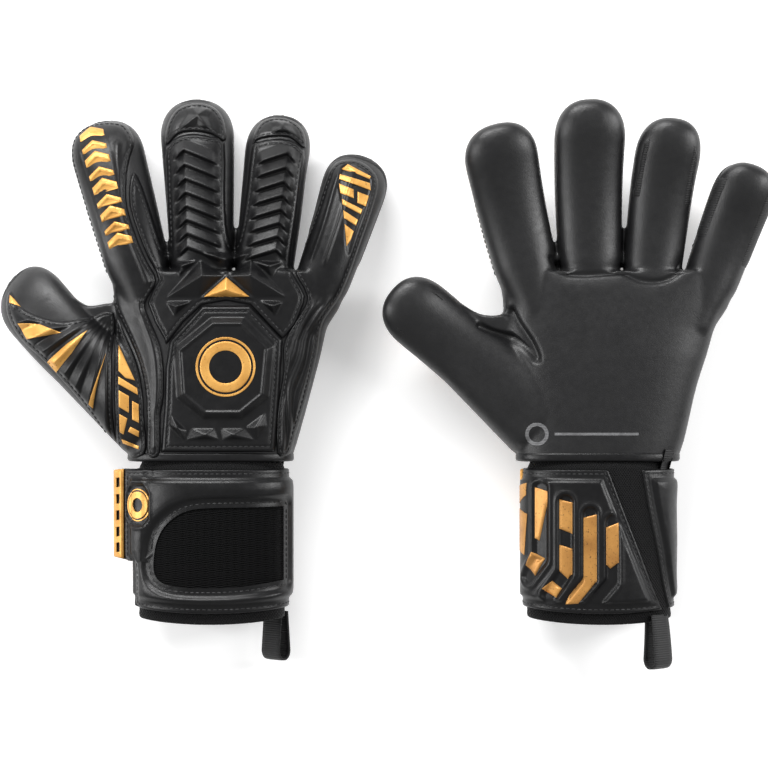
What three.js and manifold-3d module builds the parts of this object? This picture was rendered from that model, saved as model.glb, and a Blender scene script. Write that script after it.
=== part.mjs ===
// A pair of goalkeeper gloves lying on a table: the right glove palm down, the left glove palm up beside it.
// Each glove is a hollow foam hand shell with jointed finger and thumb stalls, raised back panels, an elastic
// wrist sleeve, a wrap-around strap with a peeling pull tab, and a webbing loop for pulling the glove on.
//
// Units are millimetres. A glove's own frame has +Y towards the fingertips, -X towards the thumb, +Z towards
// the back of the hand and its origin at the wrist, level with the strap's upper edge. The left glove is the
// right one mirrored through its palm plane, which turns its palm up.
import * as THREE from 'three';
import { mergeVertices } from 'three/addons/utils/BufferGeometryUtils.js';
import Module from 'manifold-3d';

const wasm = await Module();
wasm.setup();

// ---------------------------------------------------------------------------------------------- sizes
const GLOVE_SPACING = 209.5; // from one glove's wrist to the other's
const GAP = 0.4; // left between pieces that would touch
const FOAM = 6.5; // latex, backing foam and lining of the hand, laminated
const WRIST_FOAM = 5.5;
const FAR = 400; // longer than the object, for cutting blocks

const FINGER_POWER = 2.4; // superellipse power of a stall's section; 2 is an ellipse
const HAND_POWER = 2.7;
const CUFF_POWER = 2.5;
const RING_POINTS = 12;

// The hand's sections from wrist to knuckles: height along Y, left and right edge, half thickness.
const HAND_SECTIONS = [
  { y: 5, left: -36.5, right: 49, half: 20 },
  { y: 30, left: -38, right: 57, half: 19.5 },
  { y: 60, left: -40, right: 65, half: 19 },
  { y: 84, left: -45, right: 75, half: 17.5 },
  { y: 98, left: -47, right: 79, half: 15.5 },
];

// base: middle of the stall where it leaves the hand. splay: degrees towards the little finger.
// width and depth: half sizes at the base and near the tip. knuckle: where the stall's second bend lies along Y.
const FINGERS = {
  index: { base: [-34.5, 113], splay: -14.5, length: 76, width: [17.4, 19.6], depth: [14.5, 13.2], knuckle: 143 },
  middle: { base: [1, 116], splay: -1.8, length: 82.5, width: [17.2, 19.2], depth: [14.5, 13.2], knuckle: 150 },
  ring: { base: [35.4, 113], splay: 6.5, length: 77.5, width: [15.9, 17.8], depth: [14, 12.7], knuckle: 146 },
  pinky: { base: [67.3, 104], splay: 19.5, length: 69.5, width: [15, 16.4], depth: [13.4, 12], knuckle: 131 },
};
const FINGER_CURL = 17; // how far a fingertip's middle lies towards the palm
const FINGER_ROOT = 30; // how far a stall reaches back into the hand
const FINGER_SLOTS = [-16.9, 18.6, 51.3]; // between the stalls, from the webs up

// Distances along the thumb are counted from the point where its axis passes the wrist.
const THUMB = {
  axis: new THREE.Vector3(-0.755, 0.656, 0).normalize(),
  foot: [2.6, 3],
  root: 36,
  bend: 88,
  knuckle: 113,
  tip: 143,
  width: [24, 19.4, 18.4],
  depth: [17, 14.6, 13],
  curl: 12,
};

const CUFF = { x: 6.5, width: 39, depth: 20.5, top: 1, bottom: -82, wall: 2 };
const STRAP = { top: 0, bottom: -74, inner: 1.5, outer: 5, rootX: 42.5, tabX: -26.5, tabBottom: -49 };
const LOOP_RIBBON = { x: 38.5, z: -13, top: -83.2, bottom: -106.4, width: 14, gap: 7, thick: 1.8 };

// How each glove's strap is closed: how far the tab's end stands off the wrist, and how low it comes round.
const CLOSURES = { right: { bulge: 6, tabEnd: 0.8 }, left: { bulge: 0, tabEnd: 9 } };

// ---------------------------------------------------------------------------------------------- materials
const foamBlack = new THREE.MeshStandardMaterial({ color: 0x17181a, roughness: 0.62, metalness: 0 });
const panelBlack = new THREE.MeshStandardMaterial({ color: 0x1b1c1e, roughness: 0.5, metalness: 0 });
const meshBlack = new THREE.MeshStandardMaterial({ color: 0x0b0b0c, roughness: 0.9, metalness: 0 });
const webbingBlack = new THREE.MeshStandardMaterial({ color: 0x121213, roughness: 0.75, metalness: 0 });
const gold = new THREE.MeshStandardMaterial({ color: 0xb9812f, roughness: 0.38, metalness: 0.6 });

// ---------------------------------------------------------------------------------------------- solids
const point = (x, y, z = 0) => new THREE.Vector3(x, y, z);
const lerp = THREE.MathUtils.lerp;

/** A manifold-3d solid from a closed three.js geometry. */
function solidOf(geometry) {
  const bare = geometry.index ? geometry.toNonIndexed() : geometry.clone();
  bare.deleteAttribute('normal');
  bare.deleteAttribute('uv');
  const merged = mergeVertices(bare, 1e-4);
  const vertProperties = merged.attributes.position.array;
  const triVerts = new Uint32Array(merged.index.array);
  return new wasm.Manifold(new wasm.Mesh({ numProp: 3, vertProperties, triVerts }));
}

/** A three.js geometry from a solid. */
function geometryOf(solid) {
  const mesh = solid.getMesh();
  const positions = new Float32Array(mesh.numVert * 3);
  for (let i = 0; i < mesh.numVert; i += 1) {
    const start = i * mesh.numProp;
    positions.set(mesh.vertProperties.subarray(start, start + 3), i * 3);
  }
  const geometry = new THREE.BufferGeometry();
  geometry.setAttribute('position', new THREE.BufferAttribute(positions, 3));
  geometry.setIndex(new THREE.BufferAttribute(new Uint32Array(mesh.triVerts), 1));
  geometry.computeVertexNormals();
  return geometry;
}

/** A block between two corners. */
function block(low, high) {
  const size = high.map((value, k) => value - low[k]);
  const box = new THREE.BoxGeometry(...size);
  box.translate(...high.map((value, k) => (value + low[k]) / 2));
  return solidOf(box);
}

/** An outline in the XY plane pushed from one height to another. */
function prism(outline, low, high) {
  const shape = new THREE.Shape(outline.map(([x, y]) => new THREE.Vector2(x, y)));
  const geometry = new THREE.ExtrudeGeometry(shape, { depth: high - low, bevelEnabled: false });
  geometry.translate(0, 0, low);
  return solidOf(geometry);
}

/** One closed superellipse section round a centre, from two unit vectors and two half sizes. */
function section(centre, across, up, width, depth, power, count = RING_POINTS, start = 0) {
  const shaped = (value) => Math.sign(value) * Math.abs(value) ** (2 / power);
  return Array.from({ length: count }, (_, i) => {
    const angle = (2 * Math.PI * (i + start)) / count;
    return centre
      .clone()
      .addScaledVector(across, width * shaped(Math.cos(angle)))
      .addScaledVector(up, depth * shaped(Math.sin(angle)));
  });
}

/** A closed solid through a row of sections with equal numbers of points, capped flat at both ends. */
function loft(sections) {
  const count = sections[0].length;
  const faces = [];
  for (let k = 0; k + 1 < sections.length; k += 1) {
    for (let i = 0; i < count; i += 1) {
      const j = (i + 1) % count;
      const [a, b, c, d] = [k * count + i, k * count + j, (k + 1) * count + j, (k + 1) * count + i];
      faces.push(a, b, c, a, c, d);
    }
  }
  const last = (sections.length - 1) * count;
  for (let i = 1; i + 1 < count; i += 1) {
    faces.push(0, i + 1, i, last, last + i, last + i + 1);
  }
  const points = sections.flat();
  const build = (indices) => {
    const geometry = new THREE.BufferGeometry().setFromPoints(points);
    geometry.setIndex(indices);
    return solidOf(geometry);
  };
  const solid = build(faces);
  return solid.volume() > 0 ? solid : build([...faces].reverse());
}

const up = point(0, 0, 1);

// ---------------------------------------------------------------------------------------------- stalls
/** Share of a stall's full section left at a distance from its base, which rounds the tip. */
function tipShare(distance, length, radius) {
  const past = Math.max(0, distance - (length - radius)) / radius;
  return Math.sqrt(Math.max(0, 1 - past * past));
}

/** A finger stall's middle line, half width and half depth at a distance from its base. */
function fingerAt(finger, distance) {
  const angle = THREE.MathUtils.degToRad(finger.splay);
  const share = THREE.MathUtils.clamp(distance / finger.length, 0, 1);
  return {
    centre: point(
      finger.base[0] + distance * Math.sin(angle),
      finger.base[1] + distance * Math.cos(angle),
      -FINGER_CURL * share * share,
    ),
    width: lerp(finger.width[0], finger.width[1], share),
    depth: lerp(finger.depth[0], finger.depth[1], share),
  };
}

/** A finger stall's outside, or with an inset its inside. */
function fingerSolid(finger, inset = 0) {
  const angle = THREE.MathUtils.degToRad(finger.splay);
  const across = point(Math.cos(angle), -Math.sin(angle));
  const length = finger.length - inset;
  const round = 17 - inset;
  const distances = [-FINGER_ROOT, 0, 18, 38, length - round, length - round * 0.5, length - round * 0.18, length];
  return loft(
    distances.map((distance) => {
      const { centre, width, depth } = fingerAt(finger, distance);
      const share = Math.max(0.34, tipShare(distance, length, round));
      return section(centre, across, up, (width - inset) * share, (depth - inset) * share, FINGER_POWER);
    }),
  );
}

/** The thumb stall's middle line and half sizes at a distance along its axis. */
function thumbAt(distance) {
  const { axis, foot, root, bend, tip, width, depth, curl } = THUMB;
  const centre = point(foot[0], foot[1]).addScaledVector(axis, distance);
  const low = THREE.MathUtils.clamp((distance - root) / (bend - root), 0, 1);
  const high = THREE.MathUtils.clamp((distance - bend) / (tip - bend), 0, 1);
  centre.z = -curl * high * high;
  const sized = ([wide, middle, narrow]) => lerp(lerp(wide, middle, low), narrow, high);
  return { centre, width: sized(width), depth: sized(depth) };
}

/** The thumb stall's outside, or with an inset its inside. */
function thumbSolid(inset = 0) {
  const across = point(THUMB.axis.y, -THUMB.axis.x);
  const tip = THUMB.tip - inset;
  const round = 16 - inset;
  const start = THUMB.root + inset;
  const distances = [start, 60, THUMB.bend, 108, tip - round, tip - round * 0.5, tip - round * 0.18, tip];
  return loft(
    distances.map((distance) => {
      const { centre, width, depth } = thumbAt(distance);
      const share = Math.max(0.34, tipShare(distance, tip, round));
      return section(centre, across, up, (width - inset) * share, (depth - inset) * share, FINGER_POWER);
    }),
  );
}

/** A block that holds what lies beyond a distance along the thumb, and no part of the palm or index stall. */
function beyondThumb(distance) {
  const reach = 90;
  const box = new THREE.BoxGeometry(reach, 56, 90);
  const turn = Math.atan2(THUMB.axis.y, THUMB.axis.x);
  const middle = point(THUMB.foot[0], THUMB.foot[1]).addScaledVector(THUMB.axis, distance + reach / 2);
  box.rotateZ(turn);
  box.translate(middle.x, middle.y, 0);
  return solidOf(box);
}

/** Everything above a height along Y. */
const above = (y) => block([-FAR, y, -FAR], [FAR, FAR, FAR]);
const below = (y) => block([-FAR, -FAR, -FAR], [FAR, y, FAR]);

// ---------------------------------------------------------------------------------------------- hand
/** The hand's outside grown by an offset, with the roots of its stalls, up to each stall's own bend. */
function handSolid(offset) {
  const palm = loft(
    HAND_SECTIONS.map(({ y, left, right, half }) =>
      section(
        point((left + right) / 2, y),
        point(1, 0),
        up,
        (right - left) / 2 + offset,
        half + offset,
        HAND_POWER,
        2 * RING_POINTS,
      ),
    ),
  );
  let solid = palm.add(thumbSolid(-offset).subtract(beyondThumb(THUMB.bend - GAP / 2)));
  for (const finger of Object.values(FINGERS)) {
    solid = solid.add(fingerSolid(finger, -offset).subtract(above(finger.base[1] - GAP / 2)));
  }
  return solid.subtract(below(HAND_SECTIONS[0].y));
}

/** The room inside the hand. It runs out through the wrist and into every stall. */
function handRoom() {
  const wall = (y) => (y < 20 ? WRIST_FOAM : FOAM);
  const rows = [{ ...HAND_SECTIONS[0], y: 0 }, ...HAND_SECTIONS.slice(1)];
  const palm = loft(
    rows.map(({ y, left, right, half }) =>
      section(
        point((left + right) / 2, y),
        point(1, 0),
        up,
        (right - left) / 2 - wall(y),
        half - wall(y),
        HAND_POWER,
        2 * RING_POINTS,
      ),
    ),
  );
  return Object.values(FINGERS).reduce(
    (room, finger) => room.add(fingerSolid(finger, FOAM)),
    palm.add(thumbSolid(FOAM)),
  );
}

/** A raised panel on the back of the hand: an outline's part of the layer between two offsets. */
function backPlate(outline, high) {
  const layer = handSolid(high).subtract(handSolid(GAP));
  return layer.intersect(prism(outline, 1, FAR));
}

/** The hand's pieces, as name to solid and material. */
function handPieces() {
  const shell = handSolid(0).subtract(handRoom());
  const thumbCut = beyondThumb(THUMB.bend - GAP);
  const plate = (outline, high = 3.2) => backPlate(outline, high).subtract(thumbCut);
  const web = [[-38, 62], [-50.5, 72.5], [-45.5, 81], [-41, 84]];
  const shieldMiddle = [14, 55];
  const shieldRadius = 27;
  const octagon = Array.from({ length: 8 }, (_, i) => {
    const angle = ((i + 0.5) * Math.PI) / 4;
    return [shieldMiddle[0] + shieldRadius * Math.cos(angle), shieldMiddle[1] + shieldRadius * Math.sin(angle)];
  });
  const knuckles = [[-14, 85], [44, 85], [48, 97], [34, 108], [-4, 108], [-18, 97]];
  const indexSide = [[-53, 112], [-20, 112], [-21.5, 101], [-27.5, 87], [-17, 63], [-15.5, 28], [-17, 6.5], [-27, 6.5],
    [-27.5, 28], [-33, 48], [-42, 80]];
  const pinkySide = [[53, 96], [46.5, 68], [46, 28], [44, 6.5], [60, 6.5], [95, 96]];
  const thumbSide = [[-43, 77], [-34, 48], [-28.5, 28], [-28, 6.5], [-60, 6.5], [-70, 60]];
  return {
    palm_latex: [shell.intersect(block([-FAR, -FAR, -FAR], [FAR, FAR, -GAP / 2])), foamBlack],
    backhand_panel: [shell.intersect(block([-FAR, -FAR, GAP / 2], [FAR, FAR, FAR])), panelBlack],
    knuckle_guard: [plate(knuckles, 4), panelBlack],
    shield_boss: [plate(octagon, 4), panelBlack],
    index_side_panel: [plate(indexSide), panelBlack],
    pinky_side_panel: [plate(pinkySide), panelBlack],
    thumb_side_panel: [plate(thumbSide), panelBlack],
    web_gusset: [prism(web, -9, 1 - GAP).subtract(handSolid(GAP)).subtract(thumbCut), foamBlack],
  };
}

/** Both lengths of every stall: the one that leaves the hand and the one with the tip. */
function stallPieces() {
  const pieces = {};
  for (const [name, finger] of Object.entries(FINGERS)) {
    let tube = fingerSolid(finger).subtract(fingerSolid(finger, FOAM));
    for (const x of FINGER_SLOTS) {
      tube = tube.subtract(block([x - GAP, 90, -FAR], [x + GAP, 135, FAR]));
    }
    tube = tube.subtract(below(finger.base[1] + GAP / 2));
    pieces[`${name}_base`] = [tube.subtract(above(finger.knuckle - GAP / 2)), foamBlack];
    pieces[`${name}_tip`] = [tube.subtract(below(finger.knuckle + GAP / 2)), foamBlack];
  }
  const thumb = thumbSolid().subtract(thumbSolid(FOAM));
  const free = thumb.intersect(beyondThumb(THUMB.bend + GAP / 2));
  pieces.thumb_base = [free.subtract(beyondThumb(THUMB.knuckle - GAP / 2)), foamBlack];
  pieces.thumb_tip = [free.intersect(beyondThumb(THUMB.knuckle + GAP / 2)), foamBlack];
  return pieces;
}

// ---------------------------------------------------------------------------------------------- cuff
/** The wrist's outside grown by an offset in each direction, between two heights. */
function cuffSolid(low, high, offset, sideOffset = offset) {
  const row = (y) =>
    section(
      point(CUFF.x, y),
      point(1, 0),
      up,
      CUFF.width + sideOffset,
      CUFF.depth + offset,
      CUFF_POWER,
      40,
      0.5,
    );
  return loft([row(low), row(high)]);
}

/** The layer round the wrist between two offsets; bulge lifts it off at the sides. */
function cuffLayer(low, high, inner, outer, bulge = 0) {
  return cuffSolid(low, high, outer, outer + bulge).subtract(cuffSolid(low - 1, high + 1, inner, inner + bulge));
}

/** The mesh window's outline, with a round end towards the thumb. */
function windowOutline(inset) {
  const shape = new THREE.Shape();
  const [left, right, low, high] = [-24.5 + inset, 40.5 - inset, -60.5 + inset, -18 - inset];
  shape.moveTo(right, low);
  shape.lineTo(right, high);
  shape.lineTo(left + 27, high - 1);
  shape.bezierCurveTo(left + 12, high - 2, left + 5, high - 16, left, high - 26);
  shape.bezierCurveTo(left - 1, low + 8, left + 4, low + 3, left + 13, low);
  return shape.getPoints(5).map(({ x, y }) => [x, y]);
}

/** What the wrist sleeve carries, the strap and its tab, as name to solid and material. */
function cuffPieces({ bulge, tabEnd }) {
  const { top, bottom, inner, outer, rootX, tabX, tabBottom } = STRAP;
  const band = (low, high) => cuffLayer(low, high, inner, outer);
  const strapBand = band(bottom, top);
  const palmRight = [[28, top + 1], [80, top + 1], [80, bottom - 1], [45.6, bottom - 1]];
  const palmLeft = [[-80, top + 1], [9.5, top + 1], [41, bottom - 1], [-80, bottom - 1]];
  const rootBack = block([rootX + GAP / 2, -FAR, -GAP], [FAR, FAR, FAR]);
  const root = strapBand.intersect(prism(palmRight, -FAR, 0).add(rootBack));

  const back = block([tabX + GAP / 2, bottom - 1, 0], [rootX - GAP / 2, top + 1, FAR]);
  const lowEnd = block([-FAR, bottom - 1, GAP / 2], [tabX + GAP, tabBottom - GAP / 2, FAR]);
  const strapBack = strapBand.intersect(back.add(lowEnd)).subtract(prism(windowOutline(0), 0, FAR));
  const window = cuffLayer(bottom, top, inner + 0.4, outer - 1.6).intersect(prism(windowOutline(GAP), 1, FAR));

  const tabZone = (end, low, high) => block([-FAR, low, end], [tabX - GAP / 2, high, FAR]);
  const tab = cuffLayer(tabBottom, top, 2.7, 5.4, bulge).intersect(tabZone(tabEnd, -FAR, FAR));
  const grip = cuffLayer(tabBottom, top, 5.8, 7.8, bulge)
    .intersect(block([-FAR, -FAR, tabEnd], [-30, FAR, tabEnd + 9]));
  const hooks = cuffLayer(tabBottom + 4, top - 4, 1.5, 2.3, bulge).intersect(tabZone(tabEnd + 3, -FAR, FAR));
  const loops = cuffLayer(tabBottom + 2, top - 2, 0.3, 1.1).intersect(tabZone(-8, -FAR, FAR));

  const badgeMiddle = [tabX - 5 - bulge * 0.3, -19, 17.5];
  const badgeCore = new THREE.CylinderGeometry(8.6, 8.6, 40, 24);
  badgeCore.rotateZ(Math.PI / 4);
  badgeCore.translate(...badgeMiddle);
  const badge = cuffLayer(tabBottom, top, 5.8, 7, bulge)
    .intersect(solidOf(badgeCore))
    .intersect(block([-FAR, -FAR, tabEnd + 9 + GAP], [tabX - 0.5, FAR, FAR]));

  const palmPanel = strapBand.intersect(prism(palmLeft, -FAR, -GAP));
  const sleeve = cuffLayer(CUFF.bottom, CUFF.top, -CUFF.wall, 0);
  const ribbon = cuffLayer(CUFF.bottom + 1, CUFF.top, 0.3, 1.1).intersect(block([25, -FAR, -16], [FAR, FAR, -5]));
  return {
    bandage_sleeve: [sleeve, meshBlack],
    cuff_palm_panel: [palmPanel, panelBlack],
    strap_root_panel: [root, panelBlack],
    side_ribbon: [ribbon, webbingBlack],
    loop_patch: [loops, webbingBlack],
    strap_back_panel: [strapBack, panelBlack],
    strap_mesh_window: [window, meshBlack],
    strap_tab: [tab, panelBlack],
    hook_patch: [hooks, webbingBlack],
    pull_grip: [grip, gold],
    tab_badge: [badge, gold],
  };
}

/** The webbing loop below the sleeve: a long closed ring of ribbon, its width across the glove. */
function pullLoop() {
  const { x, z, top, bottom, width, gap, thick } = LOOP_RIBBON;
  const radius = gap / 2 + thick;
  const ring = (round) =>
    new THREE.Path()
      .absarc(0, bottom + radius, round, Math.PI, 2 * Math.PI, false)
      .absarc(0, top - radius, round, 0, Math.PI, false)
      .getPoints(6);
  const shape = new THREE.Shape(ring(radius));
  shape.holes.push(new THREE.Path(ring(gap / 2)));
  const geometry = new THREE.ExtrudeGeometry(shape, { depth: width, bevelEnabled: false });
  geometry.translate(0, 0, -width / 2);
  geometry.rotateY(Math.PI / 2);
  geometry.translate(x, 0, z);
  return solidOf(geometry);
}

// ---------------------------------------------------------------------------------------------- assembly
/** Where each hinge line lies in a glove's own frame, and its direction. */
function hinges() {
  const found = {};
  const clearance = 0.3;
  for (const [name, finger] of Object.entries(FINGERS)) {
    const rise = Math.cos(THREE.MathUtils.degToRad(finger.splay));
    for (const [bend, y] of [['knuckle', finger.base[1]], ['bend', finger.knuckle]]) {
      const { centre, depth } = fingerAt(finger, (y - finger.base[1]) / rise);
      found[`${name}_${bend}`] = { at: [centre.x, y, centre.z - depth - clearance], along: [-1, 0, 0] };
    }
  }
  for (const [bend, distance] of [['knuckle', THUMB.bend], ['bend', THUMB.knuckle]]) {
    const { centre, depth } = thumbAt(distance);
    found[`thumb_${bend}`] = {
      at: [centre.x, centre.y, centre.z - depth - clearance],
      along: [-THUMB.axis.y, THUMB.axis.x, 0],
    };
  }
  const strapZ = (x) => {
    const share = Math.abs(x - CUFF.x) / (CUFF.width + STRAP.outer);
    return (CUFF.depth + STRAP.outer) * (1 - share ** CUFF_POWER) ** (1 / CUFF_POWER) + clearance;
  };
  found.wrist = { at: [CUFF.x, 3.5, 0], along: [-1, 0, 0] };
  found.strap_open = { at: [STRAP.rootX, (STRAP.top + STRAP.bottom) / 2, strapZ(STRAP.rootX)], along: [0, 1, 0] };
  found.tab_peel = { at: [STRAP.tabX, (STRAP.top + STRAP.tabBottom) / 2, strapZ(STRAP.tabX) + 0.6], along: [0, 1, 0] };
  found.loop_swing = { at: [LOOP_RIBBON.x, LOOP_RIBBON.top, LOOP_RIBBON.z], along: [1, 0, 0] };
  return found;
}

const pair = new THREE.Group();
const shared = { ...handPieces(), ...stallPieces(), pull_loop: [pullLoop(), webbingBlack] };
for (const [side, closure] of Object.entries(CLOSURES)) {
  const glove = new THREE.Group();
  glove.position.x = (side === 'right' ? -0.5 : 0.5) * GLOVE_SPACING;
  glove.scale.z = side === 'right' ? 1 : -1;
  for (const [name, [solid, material]] of Object.entries({ ...shared, ...cuffPieces(closure) })) {
    const mesh = new THREE.Mesh(geometryOf(solid), material);
    mesh.name = `${side}_${name}`;
    glove.add(mesh);
  }
  pair.add(glove);
}

// The origin is the middle of the pair's footprint, on the table.
const bounds = new THREE.Box3().setFromObject(pair, true);
const middle = bounds.getCenter(point(0, 0));
pair.position.set(-middle.x, -middle.y, -bounds.min.z);
pair.userData.hinges = hinges();

export default pair;
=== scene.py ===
import math

import bpy
import numpy as np
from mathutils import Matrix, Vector, geometry
from mathutils.bvhtree import BVHTree


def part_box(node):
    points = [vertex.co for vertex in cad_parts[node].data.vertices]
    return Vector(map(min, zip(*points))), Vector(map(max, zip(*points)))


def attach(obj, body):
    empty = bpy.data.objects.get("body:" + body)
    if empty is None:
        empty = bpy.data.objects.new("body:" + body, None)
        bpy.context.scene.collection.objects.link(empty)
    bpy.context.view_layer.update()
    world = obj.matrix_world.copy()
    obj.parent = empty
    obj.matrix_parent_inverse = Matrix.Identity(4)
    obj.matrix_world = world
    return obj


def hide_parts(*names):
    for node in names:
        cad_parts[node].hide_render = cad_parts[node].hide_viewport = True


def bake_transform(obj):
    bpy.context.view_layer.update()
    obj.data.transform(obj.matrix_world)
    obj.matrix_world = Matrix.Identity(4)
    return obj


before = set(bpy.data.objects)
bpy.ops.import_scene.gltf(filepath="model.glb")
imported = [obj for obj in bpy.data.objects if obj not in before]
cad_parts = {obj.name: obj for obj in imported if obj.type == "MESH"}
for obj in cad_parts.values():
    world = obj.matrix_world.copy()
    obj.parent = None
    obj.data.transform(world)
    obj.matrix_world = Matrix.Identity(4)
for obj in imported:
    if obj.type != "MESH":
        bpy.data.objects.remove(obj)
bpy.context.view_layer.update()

# A pair of goalkeeper gloves. Every piece is made once, in millimetres in a glove's own frame (+Y to the
# fingertips, -X to the thumb, +Z to the back of the hand, origin at the wrist), and is placed twice: as it is
# for the right glove, which lies palm down, and mirrored through the palm plane for the left one.
MM = 0.001
SIDES = {"right": 1.0, "left": -1.0}
SLEEVE_CENTRE_X = 6.5
SLEEVE_TOP = 1.0


def glove_origin(side):
    """Where a glove's own origin lies in the row frame, in millimetres, from its sleeve."""
    low, high = (np.array(corner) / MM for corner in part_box(f"{side}_bandage_sleeve"))
    return np.array([(low[0] + high[0]) / 2 - SLEEVE_CENTRE_X, high[1] - SLEEVE_TOP, (low[2] + high[2]) / 2])


ORIGIN = {side: glove_origin(side) for side in SIDES}

# How each glove of the pair lies a little differently: a place, how far round it, and the shift there.
LIE = {
    "right": [((-55, 176), 34, (-2.6, 2.6)), ((-2, 192), 24, (-1.6, 2.8)), ((43, 184), 24, (0.6, 2.6)),
              ((76, 160), 22, (-2.0, 0.8)), ((-94, 96), 26, (2.6, 6.5)), ((-20, -62), 16, (1.0, 0.0))],
    "left": [((-50, 182), 30, (2.8, -1.6)), ((0, 190), 22, (1.4, 0.0)), ((43, 184), 22, (1.8, -1.8)),
             ((86, 158), 28, (-3.0, -7.5)), ((-100, 80), 22, (-1.0, -1.5)), ((62, 42), 26, (-2.2, 0.0)),
             ((50, -20), 26, (-2.6, 0.0)), ((50, -60), 22, (-2.4, 0.0)), ((-50, 88), 12, (1.0, -6.0))],
}


def placed(side, points):
    """Points of a glove's own frame, as that glove lies in the row frame, in metres."""
    points = np.array(points, float).reshape(-1, 3)
    turned = points * (1, 1, SIDES[side])
    for centre, reach, (dx, dy) in LIE[side]:
        share = np.exp(-((points[:, :2] - centre) ** 2).sum(axis=1) / reach ** 2)
        turned = turned + share[:, None] * (dx, dy, 0)
    return (turned + ORIGIN[side]) * MM


# ------------------------------------------------------------------------------------------------ stalls
# base: middle of the stall where it leaves the hand. splay: degrees from +Y towards the little finger.
# cut: where its own pieces begin and where they change, along the stall from the base.
# bends: the two stretches that follow the stall's joints.
STALLS = {
    "index": dict(base=(-34.5, 113), splay=-14.5, length=75.5, width=(17.4, 19.8), depth=(14.5, 13.2),
                  cut=(-2, 17), bends=((-1, 13), (23, 39))),
    "middle": dict(base=(1, 116), splay=-1.8, length=82, width=(17.2, 19.4), depth=(14.5, 13.2),
                   cut=(3.8, 21.5), bends=((4.8, 19), (26, 42))),
    "ring": dict(base=(35.4, 113), splay=6.5, length=77, width=(15.9, 18), depth=(14, 12.7),
                 cut=(5.4, 22.5), bends=((6.4, 20.5), (25.5, 41))),
    "pinky": dict(base=(67.3, 104), splay=19.5, length=69, width=(15, 16.8), depth=(13.4, 12),
                  cut=(-2, 15), bends=((-1, 13), (20, 36))),
    "thumb": dict(base=(-63.84, 60.73), splay=-49.02, length=55, width=(19.4, 18.4), depth=(14.6, 13),
                  cut=(4, 18.5), bends=((5, 17), (20, 31))),
}
STALL_NAMES = list(STALLS)
CURL = {name: 17 for name in STALLS}
CURL["thumb"] = 12
HALF_BAND = 25
THUMB_SIDE = dict(x=-44, y=118)


def stall_axes(name):
    """A stall's base, the direction it points in and the direction across it."""
    angle = math.radians(STALLS[name]["splay"])
    along = np.array([math.sin(angle), math.cos(angle)])
    return np.array(STALLS[name]["base"], float), along, np.array([along[1], -along[0]])


def stall_coordinates(name, points):
    """Distance along a stall from its base and across it, of points in the XY plane."""
    base, along, across = stall_axes(name)
    rest = np.asarray(points)[:, :2] - base
    return rest @ along, rest @ across


def segment_of(points):
    """Which piece of a glove each point belongs to: 0 the hand, then two lengths for each stall."""
    points = np.asarray(points)[:, :2]
    found = np.zeros(len(points), int)
    nearest = np.full(len(points), float(HALF_BAND))
    for k, name in enumerate(STALL_NAMES):
        s, t = stall_coordinates(name, points)
        first, second = STALLS[name]["cut"]
        mine = (s > first) & (np.abs(t) < nearest)
        if name == "thumb":
            mine &= (points[:, 0] < THUMB_SIDE["x"]) & (points[:, 1] < THUMB_SIDE["y"])
        nearest[mine] = np.abs(t)[mine]
        found[mine] = np.where(s[mine] > second, 2 * k + 2, 2 * k + 1)
    return found


SEGMENTS = ["hand"] + [name + end for name in STALL_NAMES for end in ("_base", "_tip")]


# ------------------------------------------------------------------------------------------------ pieces
def mesh_of(name, points, faces, normals=None):
    mesh = bpy.data.meshes.new(name)
    mesh.from_pydata(np.asarray(points).tolist(), [], faces.tolist())
    mesh.polygons.foreach_set("use_smooth", [True] * len(mesh.polygons))
    if normals is not None:
        mesh.normals_split_custom_set_from_vertices(np.asarray(normals).tolist())
    return mesh


def add_piece(name, points, faces, material, body, bend=None, normals=None, stands_for=(),
              sides=("right", "left")):
    """Makes a piece on each glove. It rides on a body; given a bend = (body, start, end), it is only baked
    where it lies and is not attached to any body.
    """
    for side in sides:
        own, turned = normals, faces
        if SIDES[side] < 0:
            turned = faces[:, ::-1]
            own = None if normals is None else np.asarray(normals) * (1, 1, -1)
        full = f"{side}_{name}"
        mesh = mesh_of(full, placed(side, points), turned, own)
        piece = bpy.data.objects.new(full, mesh)
        bpy.context.scene.collection.objects.link(piece)
        mesh.materials.append(material)
        if bend is None:
            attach(piece, f"{side}_{body}")
        else:
            other, start, end = bend
            start, end = (Vector(placed(side, place)[0]) for place in (start, end))
            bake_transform(piece)
        if stands_for:
            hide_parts(*[f"{side}_{node}" for node in stands_for])


def bend_of(segment):
    """The body a segment starts on and how it bends from it."""
    if segment == "hand":
        return "hand", None
    name, end = segment.rsplit("_", 1)
    base, along, _ = stall_axes(name)
    low, high = STALLS[name]["bends"][0 if end == "base" else 1]
    start, stop = (np.append(base + along * s, 0) for s in (low, high))
    if end == "base":
        return "hand", (f"{name}_base", start, stop)
    return f"{name}_base", (f"{name}_tip", start, stop)


def add_in_segments(name, points, faces, material, normals, stands_for=None):
    """Cuts a mesh where the stalls bend and adds each part as a piece of its own."""
    owner = segment_of(points[faces].mean(axis=1))
    for k in np.unique(owner):
        mine = faces[owner == k]
        used, renumbered = np.unique(mine, return_inverse=True)
        segment = SEGMENTS[k]
        body, bend = bend_of(segment)
        add_piece(f"{name}_{segment}", points[used], renumbered.reshape(mine.shape), material, body,
                  bend, normals[used], (stands_for or {}).get(segment, ()))


# ------------------------------------------------------------------------------------------------ curves
def smooth(low, high, value):
    share = np.clip((value - low) / (high - low), 0, 1)
    return share * share * (3 - 2 * share)


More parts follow.
